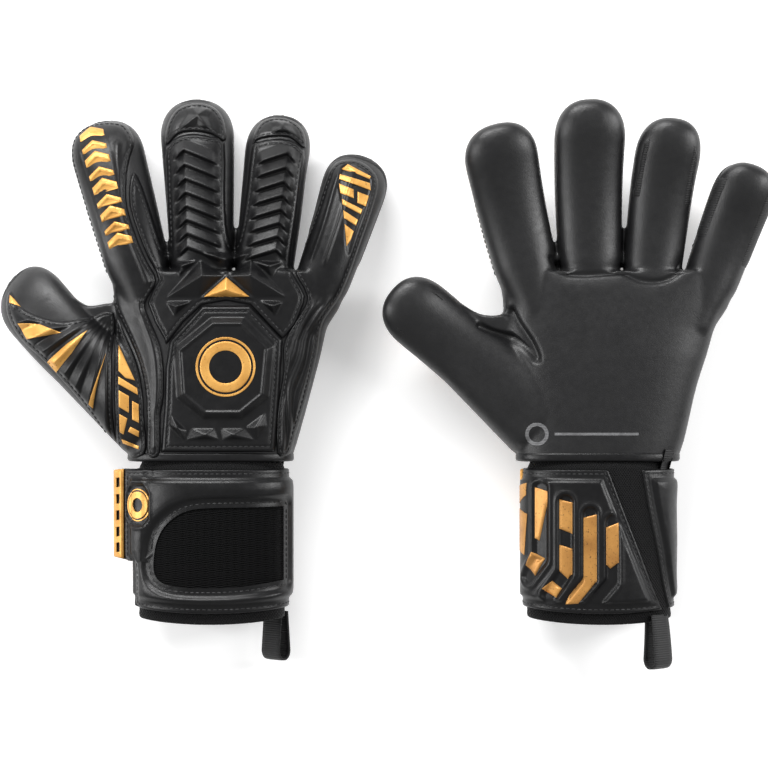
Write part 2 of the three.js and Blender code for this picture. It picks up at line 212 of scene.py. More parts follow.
def rounded(points, closed=True, steps=6):
    """A smooth curve through points."""
    points = np.array(points, float)
    count = len(points)
    made = []
    for i in range(count if closed else count - 1):
        if closed:
            a, b, c, d = (points[(i + k) % count] for k in (-1, 0, 1, 2))
        else:
            a, b, c, d = (points[min(max(i + k, 0), count - 1)] for k in (-1, 0, 1, 2))
        for t in np.arange(steps) / steps:
            made.append(0.5 * (2 * b + (c - a) * t + (2 * a - 5 * b + 4 * c - d) * t ** 2
                               + (3 * b - a - 3 * c + d) * t ** 3))
    if not closed:
        made.append(points[-1])
    return np.array(made)


def line_distance(points, line, closed=False):
    """Distance of points in the plane from a line through corners."""
    line = np.asarray(line, float)
    ends = np.roll(line, -1, axis=0) if closed else line[1:]
    starts = line if closed else line[:-1]
    best = np.full(len(points), 1e9)
    for a, b in zip(starts, ends):
        along = b - a
        share = np.clip((points - a) @ along / max(along @ along, 1e-9), 0, 1)
        best = np.minimum(best, np.hypot(*(points - a - share[:, None] * along).T))
    return best


def inside(points, outline):
    """True for points in the plane inside an outline."""
    x, y = points.T
    found = np.zeros(len(points), bool)
    for (ax, ay), (bx, by) in zip(outline, np.roll(outline, -1, axis=0)):
        crosses = (ay > y) != (by > y)
        if ay != by:
            found ^= crosses & (x < (bx - ax) * (y - ay) / (by - ay) + ax)
    return found


def depth_in(points, outline):
    """Distance of points from an outline, positive inside it."""
    return line_distance(points, outline, closed=True) * np.where(inside(points, outline), 1, -1)


def pyramid(points, corners, apex, height, flat=1.0):
    """Height of a pyramid on convex corners; flat below 1 cuts its top off."""
    corners = np.array(corners, float)
    apex = np.array(apex, float)
    turn = np.sign(np.cross(corners[1] - corners[0], corners[2] - corners[1]))
    least = np.full(len(points), 1e9)
    for a, b in zip(corners, np.roll(corners, -1, axis=0)):
        normal = np.array([a[1] - b[1], b[0] - a[0]]) * turn
        least = np.minimum(least, (points - a) @ normal / ((apex - a) @ normal))
    return height * np.clip(least / flat, 0, 1)


def resampled(line, step, closed=False):
    """Points a step apart along a line, with the direction at each."""
    line = np.asarray(line, float)
    if closed:
        line = np.vstack([line, line[:1]])
    lengths = np.hypot(*np.diff(line, axis=0).T)
    reach = np.concatenate([[0], np.cumsum(lengths)])
    at = np.arange(step / 2, reach[-1], step)
    spots = np.column_stack([np.interp(at, reach, line[:, k]) for k in (0, 1)])
    ahead = np.column_stack([np.interp(at + 0.3, reach, line[:, k]) for k in (0, 1)])
    behind = np.column_stack([np.interp(at - 0.3, reach, line[:, k]) for k in (0, 1)])
    direction = ahead - behind
    return spots, direction / np.maximum(np.hypot(*direction.T), 1e-9)[:, None]


# ------------------------------------------------------------------------------------------------ materials
WAVE_SCALE = 0.314


def new_material(name):
    material = bpy.data.materials.new(name)
    material.use_nodes = True
    nodes = material.node_tree.nodes
    shader = nodes["Principled BSDF"]
    return material, nodes, material.node_tree.links, shader


def object_coordinates(nodes, links, scale=(1, 1, 1)):
    coordinates = nodes.new("ShaderNodeTexCoord")
    mapping = nodes.new("ShaderNodeMapping")
    mapping.inputs["Scale"].default_value = scale
    links.new(coordinates.outputs["Object"], mapping.inputs["Vector"])
    return mapping.outputs["Vector"]


def noise(nodes, links, vector, scale, detail=4, roughness=0.5):
    node = nodes.new("ShaderNodeTexNoise")
    node.inputs["Scale"].default_value = scale
    node.inputs["Detail"].default_value = detail
    node.inputs["Roughness"].default_value = roughness
    links.new(vector, node.inputs["Vector"])
    return node.outputs["Fac"]


def ramp(nodes, links, value, low, high, first, last):
    """A value between low and high turned into one between two colours or numbers."""
    node = nodes.new("ShaderNodeValToRGB")
    node.color_ramp.elements[0].position = low
    node.color_ramp.elements[1].position = high
    grey = lambda v: (v, v, v, 1) if isinstance(v, (int, float)) else (*v, 1)
    node.color_ramp.elements[0].color = grey(first)
    node.color_ramp.elements[1].color = grey(last)
    links.new(value, node.inputs["Fac"])
    return node.outputs["Color"]


def bump(nodes, links, height, strength, distance, base=None):
    node = nodes.new("ShaderNodeBump")
    node.inputs["Strength"].default_value = strength
    node.inputs["Distance"].default_value = distance
    links.new(height, node.inputs["Height"])
    if base is not None:
        links.new(base, node.inputs["Normal"])
    return node.outputs["Normal"]


def latex_material(name, dark, light, rough, grain, gloss):
    """Foam latex: near black, with fine grain and faint scuffs."""
    material, nodes, links, shader = new_material(name)
    vector = object_coordinates(nodes, links)
    broad = noise(nodes, links, vector, 45, 5, 0.6)
    links.new(ramp(nodes, links, broad, 0.3, 0.7, dark, light), shader.inputs["Base Color"])
    scuffs = noise(nodes, links, vector, 260, 6, 0.65)
    links.new(ramp(nodes, links, scuffs, 0.35, 0.7, rough[0], rough[1]), shader.inputs["Roughness"])
    fine = noise(nodes, links, vector, 2200, 3, 0.6)
    first = bump(nodes, links, fine, grain, 0.00025)
    links.new(bump(nodes, links, scuffs, grain * 0.6, 0.0006, first), shader.inputs["Normal"])
    shader.inputs["Specular IOR Level"].default_value = gloss
    return material


def knit_material(name, pitch, colour, holes, turn=0.6, gloss=0.16):
    """Knitted mesh: rows of small open loops on a slant; the low parts between the loops take the holes
    colour, partly the dark layer seen through them and partly painted shade.
    """
    material, nodes, links, shader = new_material(name)
    coordinates = nodes.new("ShaderNodeTexCoord")
    heights = []
    for angle in (turn, -turn):
        mapping = nodes.new("ShaderNodeMapping")
        mapping.inputs["Rotation"].default_value = (0, 0, angle)
        links.new(coordinates.outputs["Object"], mapping.inputs["Vector"])
        wave = nodes.new("ShaderNodeTexWave")
        wave.inputs["Scale"].default_value = 1 / pitch * WAVE_SCALE
        wave.inputs["Distortion"].default_value = 0.6
        wave.inputs["Detail"].default_value = 1
        links.new(mapping.outputs["Vector"], wave.inputs["Vector"])
        heights.append(wave.outputs["Fac"])
    loops = nodes.new("ShaderNodeMath")
    loops.operation = "MAXIMUM"
    links.new(heights[0], loops.inputs[0])
    links.new(heights[1], loops.inputs[1])
    # The holes colour goes where the loops' bump height is low: partly the dark layer under the mesh, partly
    # painted shade in the hollows between the loops.
    links.new(ramp(nodes, links, loops.outputs[0], 0.35, 0.9, holes, colour), shader.inputs["Base Color"])
    links.new(bump(nodes, links, loops.outputs[0], 0.9, 0.0006), shader.inputs["Normal"])
    shader.inputs["Roughness"].default_value = 0.7
    shader.inputs["Specular IOR Level"].default_value = gloss
    return material


def gold_material(name, bright, dark, wear):
    """Metallic gold print on foam, worn through in specks."""
    material, nodes, links, shader = new_material(name)
    vector = object_coordinates(nodes, links)
    broad = noise(nodes, links, vector, 60, 3, 0.5)
    colour = ramp(nodes, links, broad, 0.3, 0.7, dark, bright)
    specks = ramp(nodes, links, noise(nodes, links, vector, 900, 5, 0.7), wear, wear + 0.06, 1.0, 0.0)
    mix = nodes.new("ShaderNodeMix")
    mix.data_type = "RGBA"
    links.new(specks, mix.inputs["Factor"])
    links.new(colour, mix.inputs["A"])
    mix.inputs["B"].default_value = (0.12, 0.06, 0.02, 1)
    links.new(mix.outputs["Result"], shader.inputs["Base Color"])
    shader.inputs["Metallic"].default_value = 0.45
    shader.inputs["Roughness"].default_value = 0.42
    fine = noise(nodes, links, vector, 1500, 3, 0.6)
    links.new(bump(nodes, links, fine, 0.25, 0.0003), shader.inputs["Normal"])
    return material


def ribbed_material(name, pitch, colour, rough):
    """Woven webbing or thread: fine ribs along one direction."""
    material, nodes, links, shader = new_material(name)
    vector = object_coordinates(nodes, links)
    wave = nodes.new("ShaderNodeTexWave")
    wave.bands_direction = "Y"
    wave.inputs["Scale"].default_value = 1 / pitch * WAVE_SCALE
    wave.inputs["Distortion"].default_value = 0.4
    links.new(vector, wave.inputs["Vector"])
    links.new(ramp(nodes, links, noise(nodes, links, vector, 300, 3), 0.3, 0.7,
                   tuple(0.6 * c for c in colour), colour), shader.inputs["Base Color"])
    links.new(bump(nodes, links, wave.outputs["Fac"], 0.5, 0.0004), shader.inputs["Normal"])
    shader.inputs["Roughness"].default_value = rough
    shader.inputs["Specular IOR Level"].default_value = 0.35
    shader.inputs["Sheen Weight"].default_value = 0.03
    return material


LATEX = latex_material("palm_latex", (0.0055, 0.0055, 0.006), (0.009, 0.009, 0.0095), (0.36, 0.46), 0.3, 0.42)
PANEL = latex_material("backhand_foam", (0.003, 0.003, 0.0033), (0.0055, 0.0055, 0.006), (0.30, 0.42),
                       0.25, 0.30)
# The fourth argument of each knit is its holes colour: the dark layer under the mesh plus painted shade in
# the hollows between the loops.
KNIT = knit_material("sleeve_knit", 0.0011, (0.005, 0.005, 0.0054), 0.0006)
WINDOW = knit_material("window_mesh", 0.0012, (0.0024, 0.0024, 0.0026), 0.0002, 1.42, 0.08)
WEBBING = ribbed_material("webbing", 0.0012, (0.008, 0.008, 0.0085), 0.6)
THREAD = ribbed_material("thread", 0.0006, (0.022, 0.022, 0.023), 0.5)
BINDING_CLOTH = ribbed_material("binding", 0.0009, (0.005, 0.005, 0.0055), 0.55)
HOOKS = ribbed_material("hook_and_loop", 0.0008, (0.007, 0.007, 0.0075), 0.9)
PRINT = ribbed_material("palm_print", 0.0008, (0.16, 0.16, 0.165), 0.6)
GOLD = gold_material("gold_print", (0.74, 0.40, 0.10), (0.52, 0.25, 0.05), 0.33)
BRONZE = gold_material("bronze_print", (0.62, 0.31, 0.08), (0.34, 0.15, 0.035), 0.35)


# ------------------------------------------------------------------------------------------------ base body
def section_points(centre, across, width, depth, power, count=56):
    angle = 2 * np.pi * np.arange(count) / count
    shaped = lambda v: np.sign(v) * np.abs(v) ** (2 / power)
    c, s = shaped(np.cos(angle)), shaped(np.sin(angle))
    return np.column_stack([
        centre[0] + width * c * across[0],
        centre[1] + width * c * across[1],
        centre[2] + depth * s,
    ])


def loft(sections):
    """Points and faces of a closed solid through sections."""
    count = len(sections[0])
    points = np.vstack(sections)
    faces = []
    for k in range(len(sections) - 1):
        for i in range(count):
            j = (i + 1) % count
            faces.append([k * count + i, k * count + j, (k + 1) * count + j, (k + 1) * count + i])
    last = (len(sections) - 1) * count
    faces.append(list(range(count))[::-1])
    faces.append([last + i for i in range(count)])
    return points, faces


FINGER_ROOT = 30
THUMB_ROOT = 52
TIP_CAP = 22.0


def stall_loft(name, back):
    """A stall, from some way back in the hand to its rounded tip."""
    stall = STALLS[name]
    base, along, across = stall_axes(name)
    length = stall["length"]
    sections = []
    cap = TIP_CAP
    straight = np.linspace(-back, length - cap, 24)
    rounding = length - cap * (1 - np.sin(np.linspace(0.05, 1, 14) * np.pi / 2))
    for s in np.concatenate([straight, rounding]):
        share = np.clip(s / length, 0, 1)
        past = max(0.0, s - (length - cap)) / cap
        plan = max(0.0, 1 - past ** 2.5) ** (1 / 2.3)
        side = max(0.0, 1 - past ** 2.2) ** (1 / 2.0)
        width = np.interp(share, (0, 0.75, 1), (stall["width"][0], stall["width"][1], stall["width"][1]))
        depth = np.interp(share, (0, 1), stall["depth"])
        if s < 0 and name != "thumb":
            width -= 4.2 * smooth(0, -24, s)
        if name == "thumb" and s < 0:
            width = np.interp(s, (-THUMB_ROOT, 0), (24, 19.4))
            depth = np.interp(s, (-THUMB_ROOT, 0), (17, 14.6))
        centre = np.append(base + along * s, -CURL[name] * share ** 2)
        sections.append(section_points(centre, across, max(width * plan, 0.4), max(depth * side, 0.4), 2.35))
    return loft(sections)


# The hand's sections: y, left, right, half thickness.
HAND_ROWS = [(0, -37.5, 48.5, 19.5), (5, -38, 49.5, 19.8), (14, -39, 52.5, 19.8), (30, -40, 57, 19.5),
             (60, -42, 65, 19), (76, -44.5, 68.5, 18), (86, -46, 75, 17), (98, -47, 80, 15.8),
             (106, -47, 81.5, 14.6)]
WEB_PAD = [(-38, 48), (-43, 86), (-60.6, 86.4), (-72, 88.5), (-76, 66), (-60, 50)]


def base_body():
    """The whole glove hand as one smooth closed skin: points and quads."""
    parts = [stall_loft(name, THUMB_ROOT if name == "thumb" else FINGER_ROOT) for name in STALL_NAMES]
    parts.append(loft([
        section_points(((left + right) / 2, y, 0), (1, 0), (right - left) / 2, half, 2.7, 96)
        for y, left, right, half in HAND_ROWS
    ]))
    pad = rounded(WEB_PAD, steps=4)
    parts.append(loft([np.column_stack([pad, np.full(len(pad), z)]) for z in (-7.0, 4.0)]))
    points, faces = [], []
    for own, own_faces in parts:
        start = sum(len(p) for p in points)
        points.append(own)
        faces += [[start + i for i in f] for f in own_faces]
    mesh = bpy.data.meshes.new("body_cage")
    mesh.from_pydata(np.vstack(points).tolist(), [], faces)
    cage = bpy.data.objects.new("body_cage", mesh)
    bpy.context.scene.collection.objects.link(cage)
    remesh = cage.modifiers.new("remesh", "REMESH")
    remesh.mode = "VOXEL"
    remesh.voxel_size = 1.0
    relax = cage.modifiers.new("relax", "SMOOTH")
    relax.factor = 0.5
    relax.iterations = 14
    evaluated = cage.evaluated_get(bpy.context.evaluated_depsgraph_get())
    made = evaluated.to_mesh()
    co = np.empty(len(made.vertices) * 3)
    made.vertices.foreach_get("co", co)
    co = co.reshape(-1, 3)
    quads = np.array([list(p.vertices) for p in made.polygons if len(p.vertices) == 4])
    evaluated.to_mesh_clear()
    bpy.data.objects.remove(cage)
    return co, quads


def vertex_normals(points, faces):
    corners = faces.shape[1]
    a, b, c, d = (points[faces[:, k]] for k in (0, 1, 2, corners - 1))
    facing = np.cross(c - a, d - b)
    total = np.zeros_like(points)
    for k in range(corners):
        np.add.at(total, faces[:, k], facing)
    return total / np.maximum(np.linalg.norm(total, axis=1), 1e-12)[:, None]


# The seam at the roots of the middle and ring fingers and the thumb's crease, on the palm side.
PALM_SEAM = rounded([(-19.5, 113), (-14, 105.5), (-4, 104), (6, 104.5), (17.5, 105), (27, 101), (37, 100.5),
                     (46, 104), (50.5, 110)], closed=False)
THUMB_CREASE = rounded([(-58, 79), (-44, 72), (-33, 64), (-28.5, 59), (-31, 66), (-38.5, 78), (-43, 88)],
                       closed=False)


def sculpt_palm(points, normals):
    """Sinks the palm's seams and the crease between thumb and palm."""
    palm = smooth(0.15, 0.5, -normals[:, 2])
    plane = points[:, :2]
    to_seam = line_distance(plane, PALM_SEAM)
    sink = 1.5 * np.exp(-(to_seam / 1.3) ** 2) + 0.8 * np.exp(-(to_seam / 4.5) ** 2)
    sink += 3.2 * np.exp(-(line_distance(plane, THUMB_CREASE) / 2.0) ** 2)
    return points - normals * (sink * palm)[:, None]


BODY_POINTS, BODY_FACES = base_body()
BODY_NORMALS = vertex_normals(BODY_POINTS, BODY_FACES)
if (BODY_NORMALS * (BODY_POINTS - BODY_POINTS.mean(axis=0))).sum() < 0:
    BODY_FACES = BODY_FACES[:, ::-1]
    BODY_NORMALS = -BODY_NORMALS
BODY_POINTS = sculpt_palm(BODY_POINTS, BODY_NORMALS)
BODY_NORMALS = vertex_normals(BODY_POINTS, BODY_FACES)
BODY_TREE = BVHTree.FromPolygons(BODY_POINTS.tolist(), BODY_FACES.tolist())
NO_SURFACE = -99.0
SIDESTEP = 0.023


def body_height(points):
    """Height of the body's back over points in the plane."""
    down = Vector((0, 0, -1))
    found = np.full(len(points), NO_SURFACE)
    for i, (x, y) in enumerate(points):
        hit = BODY_TREE.ray_cast(Vector((x, y, 60)), down)
        if hit[0] is None:
            hit = BODY_TREE.ray_cast(Vector((x + SIDESTEP, y + SIDESTEP, 60)), down)
        if hit[0] is not None:
            found[i] = hit[0].z
    return found


HEM_Y = 5.0


def add_body():
    keep = BODY_POINTS[BODY_FACES].mean(axis=1)[:, 1] > HEM_Y
    faces = BODY_FACES[keep]
    used, renumbered = np.unique(faces, return_inverse=True)
    stands_for = {"hand": ("palm_latex", "backhand_panel", "web_gusset")}
    for name in STALL_NAMES:
        for end in ("_base", "_tip"):
            stands_for[name + end] = (name + end,)
    add_in_segments("latex", BODY_POINTS[used], renumbered.reshape(faces.shape), LATEX,
                    BODY_NORMALS[used], stands_for)


add_body()

# ------------------------------------------------------------------------------------------------ back panels
RIB_PITCH = 7.3


def ribs(points, name, peak, first, count, half):
    """Slanting chevron ribs across a stall, steep on their wrist side."""
    s, t = stall_coordinates(name, points)
    short = (t < peak) if peak < 0 else (t > peak)
    slope = np.where(short, 0.8, 0.42)
    phase = (s + np.abs(t - peak) * slope - first) / RIB_PITCH
    share = phase - np.floor(phase)
    saw = np.where(share < 0.2, share / 0.2, (1 - share) / 0.8)
    fade = smooth(half, half - 4, np.abs(t - peak * 0.1)) * ((phase > 0) & (phase < count))
    return 3.0 * saw * fade


def star(points, centre, reach, waist, turn, height):
    """A pyramid with four ridges."""
    angle = math.radians(turn)
    rest = points - np.array(centre)
    u = rest @ np.array([math.cos(angle), math.sin(angle)])
    v = rest @ np.array([-math.sin(angle), math.cos(angle)])
    high, low = np.maximum(abs(u), abs(v)), np.minimum(abs(u), abs(v))
    side = waist * math.sqrt(0.5)
    return height * np.clip(1 - high / reach - low * (1 / side - 1 / reach), 0, 1)


def ridge(points, line, width, height):
    return height * np.exp(-(line_distance(points, line) / width) ** 2)


KNUCKLES = [
    ([(1.2, 115.4), (28.8, 116), (15.1, 104.2)], (15, 112.2), 5.4),
    ([(1.4, 111.8), (13.6, 103.4), (0.4, 91.4), (-17, 91.6)], (2.3, 103.1), 6.8),
    ([(28.4, 112.4), (16.6, 103.4), (30.4, 91.4), (47.3, 91.8)], (28.1, 103.5), 6.8),
    ([(15.2, 104), (0.5, 90.9), (30.7, 90.9)], (15.2, 95.6), 4.6),
    ([(-14.8, 110.4), (-0.3, 111.4), (-9.8, 102.8)], (-8.5, 108.5), 4.3),
    ([(28.6, 111.4), (44.8, 110.6), (39.6, 102.4)], (37.8, 108.4), 4.3),
    ([(-17, 89.4), (-3, 89.6), (-12.4, 81.6)], (-10.8, 87), 4.3),
    ([(32.8, 89.8), (45.4, 89.4), (41.4, 81.8)], (39.9, 87.2), 4.3),
]
SHIELD_BASE = [
    ([(-14.5, 29.5), (-5.5, 20.5), (-6.8, 15.2), (-15.5, 24)], (-10.6, 22), 3.4),
    ([(-3.4, 21.8), (9.3, 21.8), (11.8, 15.4), (-6, 15.4)], (4.5, 18.3), 3.0),
    ([(12.2, 21.8), (25, 21.8), (30.6, 15.4), (13.6, 15.4)], (19, 18.3), 3.0),
    ([(25.6, 22.5), (36, 30.2), (36.8, 23), (31.6, 15.4)], (31.4, 22.4), 3.4),
]
OCTAGON = [(7.3, 81), (24.9, 81), (40.6, 65.4), (38, 38), (24, 26.6), (2.9, 26.6), (-11, 38), (-12.8, 64.6)]


def centre_emboss(points):
    height = np.zeros(len(points))
    for corners, apex, tall in KNUCKLES:
        height = np.maximum(height, pyramid(points, corners, apex, tall))
    height += ribs(points, "middle", -6.5, 1.5, 8, 12.6)
    height += ribs(points, "ring", 6.0, 3.5, 8, 11.6)
    return height


def shield_emboss(points):
    height = pyramid(points, OCTAGON, (14, 54), 3.0, 0.13)
    inner = smooth(3.5, 5.0, depth_in(points, np.array(OCTAGON)))
    height -= pyramid(points, OCTAGON, (14, 54), 0.9, 0.08) * inner
    for corners, apex, tall in SHIELD_BASE:
        height = np.maximum(height, pyramid(points, corners, apex, tall))
    return height


def cap_emboss(centre, turn):
    def emboss(points):
        return star(points, centre, 15, 5.2, turn, 3.4)
    return emboss


INDEX_RIDGES = [
    rounded([(-42, 172), (-41.5, 156), (-40.5, 140), (-36, 124), (-31, 111), (-26.8, 100)], closed=False),
    rounded([(-31, 89), (-28.5, 79), (-23.8, 64), (-22, 48), (-22.5, 30), (-22.5, 12)], closed=False),
]


def index_emboss(points):
    s, t = stall_coordinates("index", points)
    bed = smooth(9.4, 7.0, np.abs(t + 4.6)) * smooth(0, 8, s) * smooth(74, 71, s)
    return sum(ridge(points, line, 1.6, 0.9) for line in INDEX_RIDGES) - 0.5 * bed


def pinky_emboss(points):
    x, y = points.T
    left = np.interp(y, (5, 42, 69, 88, 96), (41.5, 42.5, 46, 56, 55))
    right = np.interp(y, (5, 14, 30, 60, 76, 92), (50, 53, 57, 65, 68, 77))
    share = (x - left) / (right - left)
    wave = share + 0.11 * np.sin((y - 20) / 15.5) + 0.05 * np.sin(y / 6.5 + share * 4)
    flowing = 1.5 * (0.5 + 0.5 * np.cos(2 * np.pi * 3.6 * wave)) ** 0.8
    height = flowing * smooth(94, 84, y) * smooth(6, 12, y)
    s, t = stall_coordinates("pinky", points)
    bands = 0.9 * np.exp(-((np.abs(t + 5.5) - 3.6) / 1.0) ** 2) * smooth(2, 10, s) * smooth(62, 52, s)
    return height + bands - 0.8 * smooth(0.0, 1.2, depth_in(points, LEAF))


PLEAT_CENTRE = np.array([-45.5, 87.0])


def thumb_emboss(points):
    rest = points - PLEAT_CENTRE
    angle = np.degrees(np.arctan2(rest[:, 1], rest[:, 0])) % 360
    reach = np.hypot(*rest.T)
    phase = ((angle - 186) / 10.5) % 1
    saw = np.where(phase < 0.65, phase / 0.65, (1 - phase) / 0.35)
    return 2.6 * saw * smooth(4, 40, reach)


LEAF = rounded([(80.5, 164), (87, 162.5), (93, 157.5), (94, 153), (91.5, 144), (85.5, 128), (80.5, 114),
                (78.2, 122), (78.3, 134), (76.4, 148), (77, 158.5)])

INDEX_OUTLINE = rounded([
    (-41, 185), (-35.8, 180), (-33.8, 173), (-36, 164), (-37.5, 155), (-37.6, 140), (-33, 124),
    (-28, 112), (-22.6, 100.6), (-28.4, 88.4), (-25.8, 79.6), (-20.2, 66), (-18.2, 52), (-18.4, 38),
    (-20, 28), (-20.5, 8), (-27, 8), (-27.2, 28), (-28, 41.3), (-31.4, 56.5), (-37.4, 70.6),
    (-43.4, 82.3), (-46, 88), (-48.8, 96), (-52.2, 107), (-59, 129), (-66.5, 157), (-68.6, 168),
    (-67.6, 176), (-62, 182.5), (-52, 185.5)], steps=4)
CENTRE_OUTLINE = rounded([
    (-33.6, 158), (-29.5, 150), (-23.5, 131), (-18.4, 117), (-16.6, 122), (-17.2, 140), (-17.4, 160),
    (-16.9, 171.2), (-9.8, 176.6), (-1.2, 177.8), (7.4, 176.6), (13.8, 173.6), (14.0, 150), (15, 130),
    (18.4, 119), (22.6, 130), (25.6, 150), (28, 171.6), (31.5, 174), (39, 175.2), (48, 174.8),
    (56.8, 169.6), (56, 160), (53.2, 140), (50.4, 122), (49, 109.6), (52.6, 101), (56, 95), (56.4, 88),
    (45.3, 69.3), (28.3, 87.6), (2.1, 87.6), (-15.2, 68.6), (-18, 69.6), (-27, 88.8), (-21.2, 101),
    (-26.5, 112.6), (-31.4, 124.4), (-36.2, 140), (-36, 152)], steps=2)
SHIELD_OUTLINE = np.array([
    (2.3, 87.2), (28.1, 87.2), (45.2, 69.0), (44, 48), (41.2, 9), (-19.6, 9), (-17.6, 36), (-17.2, 54),
    (-15, 68.3)], float)
MIDDLE_CAP = rounded([
    (-17, 172.6), (-16.4, 182), (-12, 190.5), (-5, 194.2), (4, 194.6), (10.5, 191), (14, 184),
    (14.2, 174.8), (7.6, 178), (-1.2, 179.2), (-10, 178)], steps=4)
RING_CAP = rounded([
    (28.2, 173), (29.6, 180.5), (34, 186.2), (42, 187.8), (50, 185.6), (55.8, 180), (57.2, 171),
    (48.4, 176.2), (39, 176.6), (31, 175.4)], steps=4)
PINKY_OUTLINE = rounded([
    (77.5, 165.6), (87, 166), (94.5, 160.5), (97, 153), (94, 141), (87.5, 123), (81.5, 106), (75.5, 92),
    (66.5, 78), (63.6, 62), (58, 38), (52, 18), (49, 8), (42.6, 8), (42.4, 30), (45.8, 52),
    (46.4, 68.6), (57.6, 88), (57, 95.6), (53.4, 102), (51, 110), (56, 122), (63, 138), (69.5, 154),
    (72.5, 161)], steps=4)
THUMB_OUTLINE = rounded([
    (-46.4, 83.6), (-60, 80.4), (-72, 77), (-82, 77), (-92.6, 79.4), (-100.4, 84), (-104.8, 90.5),
    (-106.4, 86), (-104.4, 77.5), (-97, 67.5), (-85, 58.5), (-74.4, 48.5), (-62, 34), (-51, 17.5),
    (-44.5, 8), (-45.8, 30), (-46.2, 60)], steps=4)
STRIP_OUTLINE = rounded([
    (-44.9, 80.5), (-38.8, 69.6), (-32.8, 56), (-29.6, 41), (-28.8, 28), (-28.6, 8), (-42.5, 8),
    (-44.6, 30), (-44.9, 60)], steps=4)

# name: outline, rise, width of the sloping edge, emboss, stitch inset
PANELS = {
    "index_panel": (INDEX_OUTLINE, 2.4, 3.2, index_emboss, 1.6),
    "centre_panel": (CENTRE_OUTLINE, 1.7, 1.6, centre_emboss, 2.2),
    "shield_panel": (SHIELD_OUTLINE, 2.0, 2.0, shield_emboss, 3.0),
    "middle_cap": (MIDDLE_CAP, 1.9, 1.6, cap_emboss((0.6, 187.5), 38), 1.6),
    "ring_cap": (RING_CAP, 1.9, 1.6, cap_emboss((44, 182.2), 50), 1.6),
    "pinky_panel": (PINKY_OUTLINE, 2.0, 2.4, pinky_emboss, 1.8),
    "thumb_panel": (THUMB_OUTLINE, 1.6, 1.8, thumb_emboss, 1.6),
    "strip_panel": (STRIP_OUTLINE, 1.8, 1.6, None, 1.6),
}
PANEL_STANDS_FOR = {
    "index_panel": "index_side_panel",
    "centre_panel": "knuckle_guard",
    "shield_panel": "shield_boss",
    "pinky_panel": "pinky_side_panel",
    "thumb_panel": "thumb_side_panel",
}
DIVE = 1.1
CELL = 0.6


def rise_over(name, points, depth):
    """A panel's height over the body, from the depth inside its outline."""
    _, rise, slope, emboss, inset = PANELS[name]
    edge = np.clip(depth / slope, 0, 1)
    height = rise * np.sqrt(1 - (1 - edge) ** 2)
    height -= 0.45 * np.exp(-((depth - inset) / 0.55) ** 2)
    if emboss is not None:
        height = height + emboss(points) * smooth(inset * 0.8, inset + 1.6, depth)
    return np.where(depth < 0, DIVE * depth / 0.9, height)


def panel_surface(name, points):
    """Height of a panel's face over points in the plane."""
    return body_height(points) + rise_over(name, points, depth_in(points, PANELS[name][0]))


def grid_solid(mask, top, bottom, xs, ys):
    """A closed solid over the true cells of a grid: points and quads."""
    cells = np.argwhere(mask)
    number = np.full(top.shape, -1)
    corner = np.zeros(top.shape, bool)
    for dr, dc in ((0, 0), (0, 1), (1, 0), (1, 1)):
        corner[cells[:, 0] + dr, cells[:, 1] + dc] = True
    used = np.argwhere(corner)
    number[used[:, 0], used[:, 1]] = np.arange(len(used))
    flat = np.column_stack([xs[used[:, 1]], ys[used[:, 0]]])
    upper = np.column_stack([flat, top[used[:, 0], used[:, 1]]])
    lower = np.column_stack([flat, bottom[used[:, 0], used[:, 1]]])
    r, c = cells.T
    a, b, d, e = number[r, c], number[r, c + 1], number[r + 1, c + 1], number[r + 1, c]
    count = len(used)
    quads = [np.column_stack([a, b, d, e]), np.column_stack([a, e, d, b]) + count]
    padded = np.pad(mask, 1)
    for dr, dc, one, two in ((-1, 0, a, b), (0, 1, b, d), (1, 0, d, e), (0, -1, e, a)):
        open_side = ~padded[r + 1 + dr, c + 1 + dc]
        p, q = one[open_side], two[open_side]
        quads.append(np.column_stack([p, p + count, q + count, q]))
    return np.vstack([upper, lower]), np.vstack(quads)


def add_panel(name):
    outline = PANELS[name][0]
    low, high = outline.min(axis=0) - 1.5, outline.max(axis=0) + 1.5
    xs = np.arange(math.floor(low[0] / CELL), math.ceil(high[0] / CELL) + 1) * CELL
    ys = np.arange(math.floor(low[1] / CELL), math.ceil(high[1] / CELL) + 1) * CELL
    gx, gy = np.meshgrid(xs, ys)
    flat = np.column_stack([gx.ravel(), gy.ravel()])
    depth = depth_in(flat, outline)
    near = depth > -1.0
    base = np.full(len(flat), NO_SURFACE)
    base[near] = body_height(flat[near])
    height = base.copy()
    height[near] += rise_over(name, flat[near], depth[near])
    usable = (near & (base > -25)).reshape(gx.shape)
    mask = usable[:-1, :-1] & usable[1:, :-1] & usable[:-1, 1:] & usable[1:, 1:]
    top = height.reshape(gx.shape)
    bottom = base.reshape(gx.shape) - 1.6
    points, quads = grid_solid(mask, top, bottom, xs, ys)
    normals = vertex_normals(points, quads[: 2 * mask.sum()])
    stands_for = {"hand": (PANEL_STANDS_FOR[name],)} if name in PANEL_STANDS_FOR else None
    add_in_segments(name, points, quads, PANEL, normals, stands_for)


for panel in PANELS:
    add_panel(panel)


# ------------------------------------------------------------------------------------------------ plates
def densified(outline, step, closed=True):
    """An outline with its long edges divided."""
    outline = np.asarray(outline, float)
    ends = np.roll(outline, -1, axis=0) if closed else outline[1:]
    made = []
    for a, b in zip(outline, ends):
        count = max(1, int(math.ceil(np.hypot(*(b - a)) / step)))
        made += [a + (b - a) * k / count for k in range(count)]
    if not closed:
        made.append(outline[-1])
    return np.array(made)


def inward(loop, inset, outline):
    """Points of a loop moved inwards, without those that would crowd a corner."""
    along = np.roll(loop, -1, axis=0) - np.roll(loop, 1, axis=0)
    across = np.column_stack([-along[:, 1], along[:, 0]]) / np.maximum(np.hypot(*along.T), 1e-9)[:, None]
    trial = loop + across * 0.05
    if depth_in(trial, outline).mean() < 0:
        across = -across
    moved = loop + across * inset
    return moved[depth_in(moved, outline) > inset * 0.9]


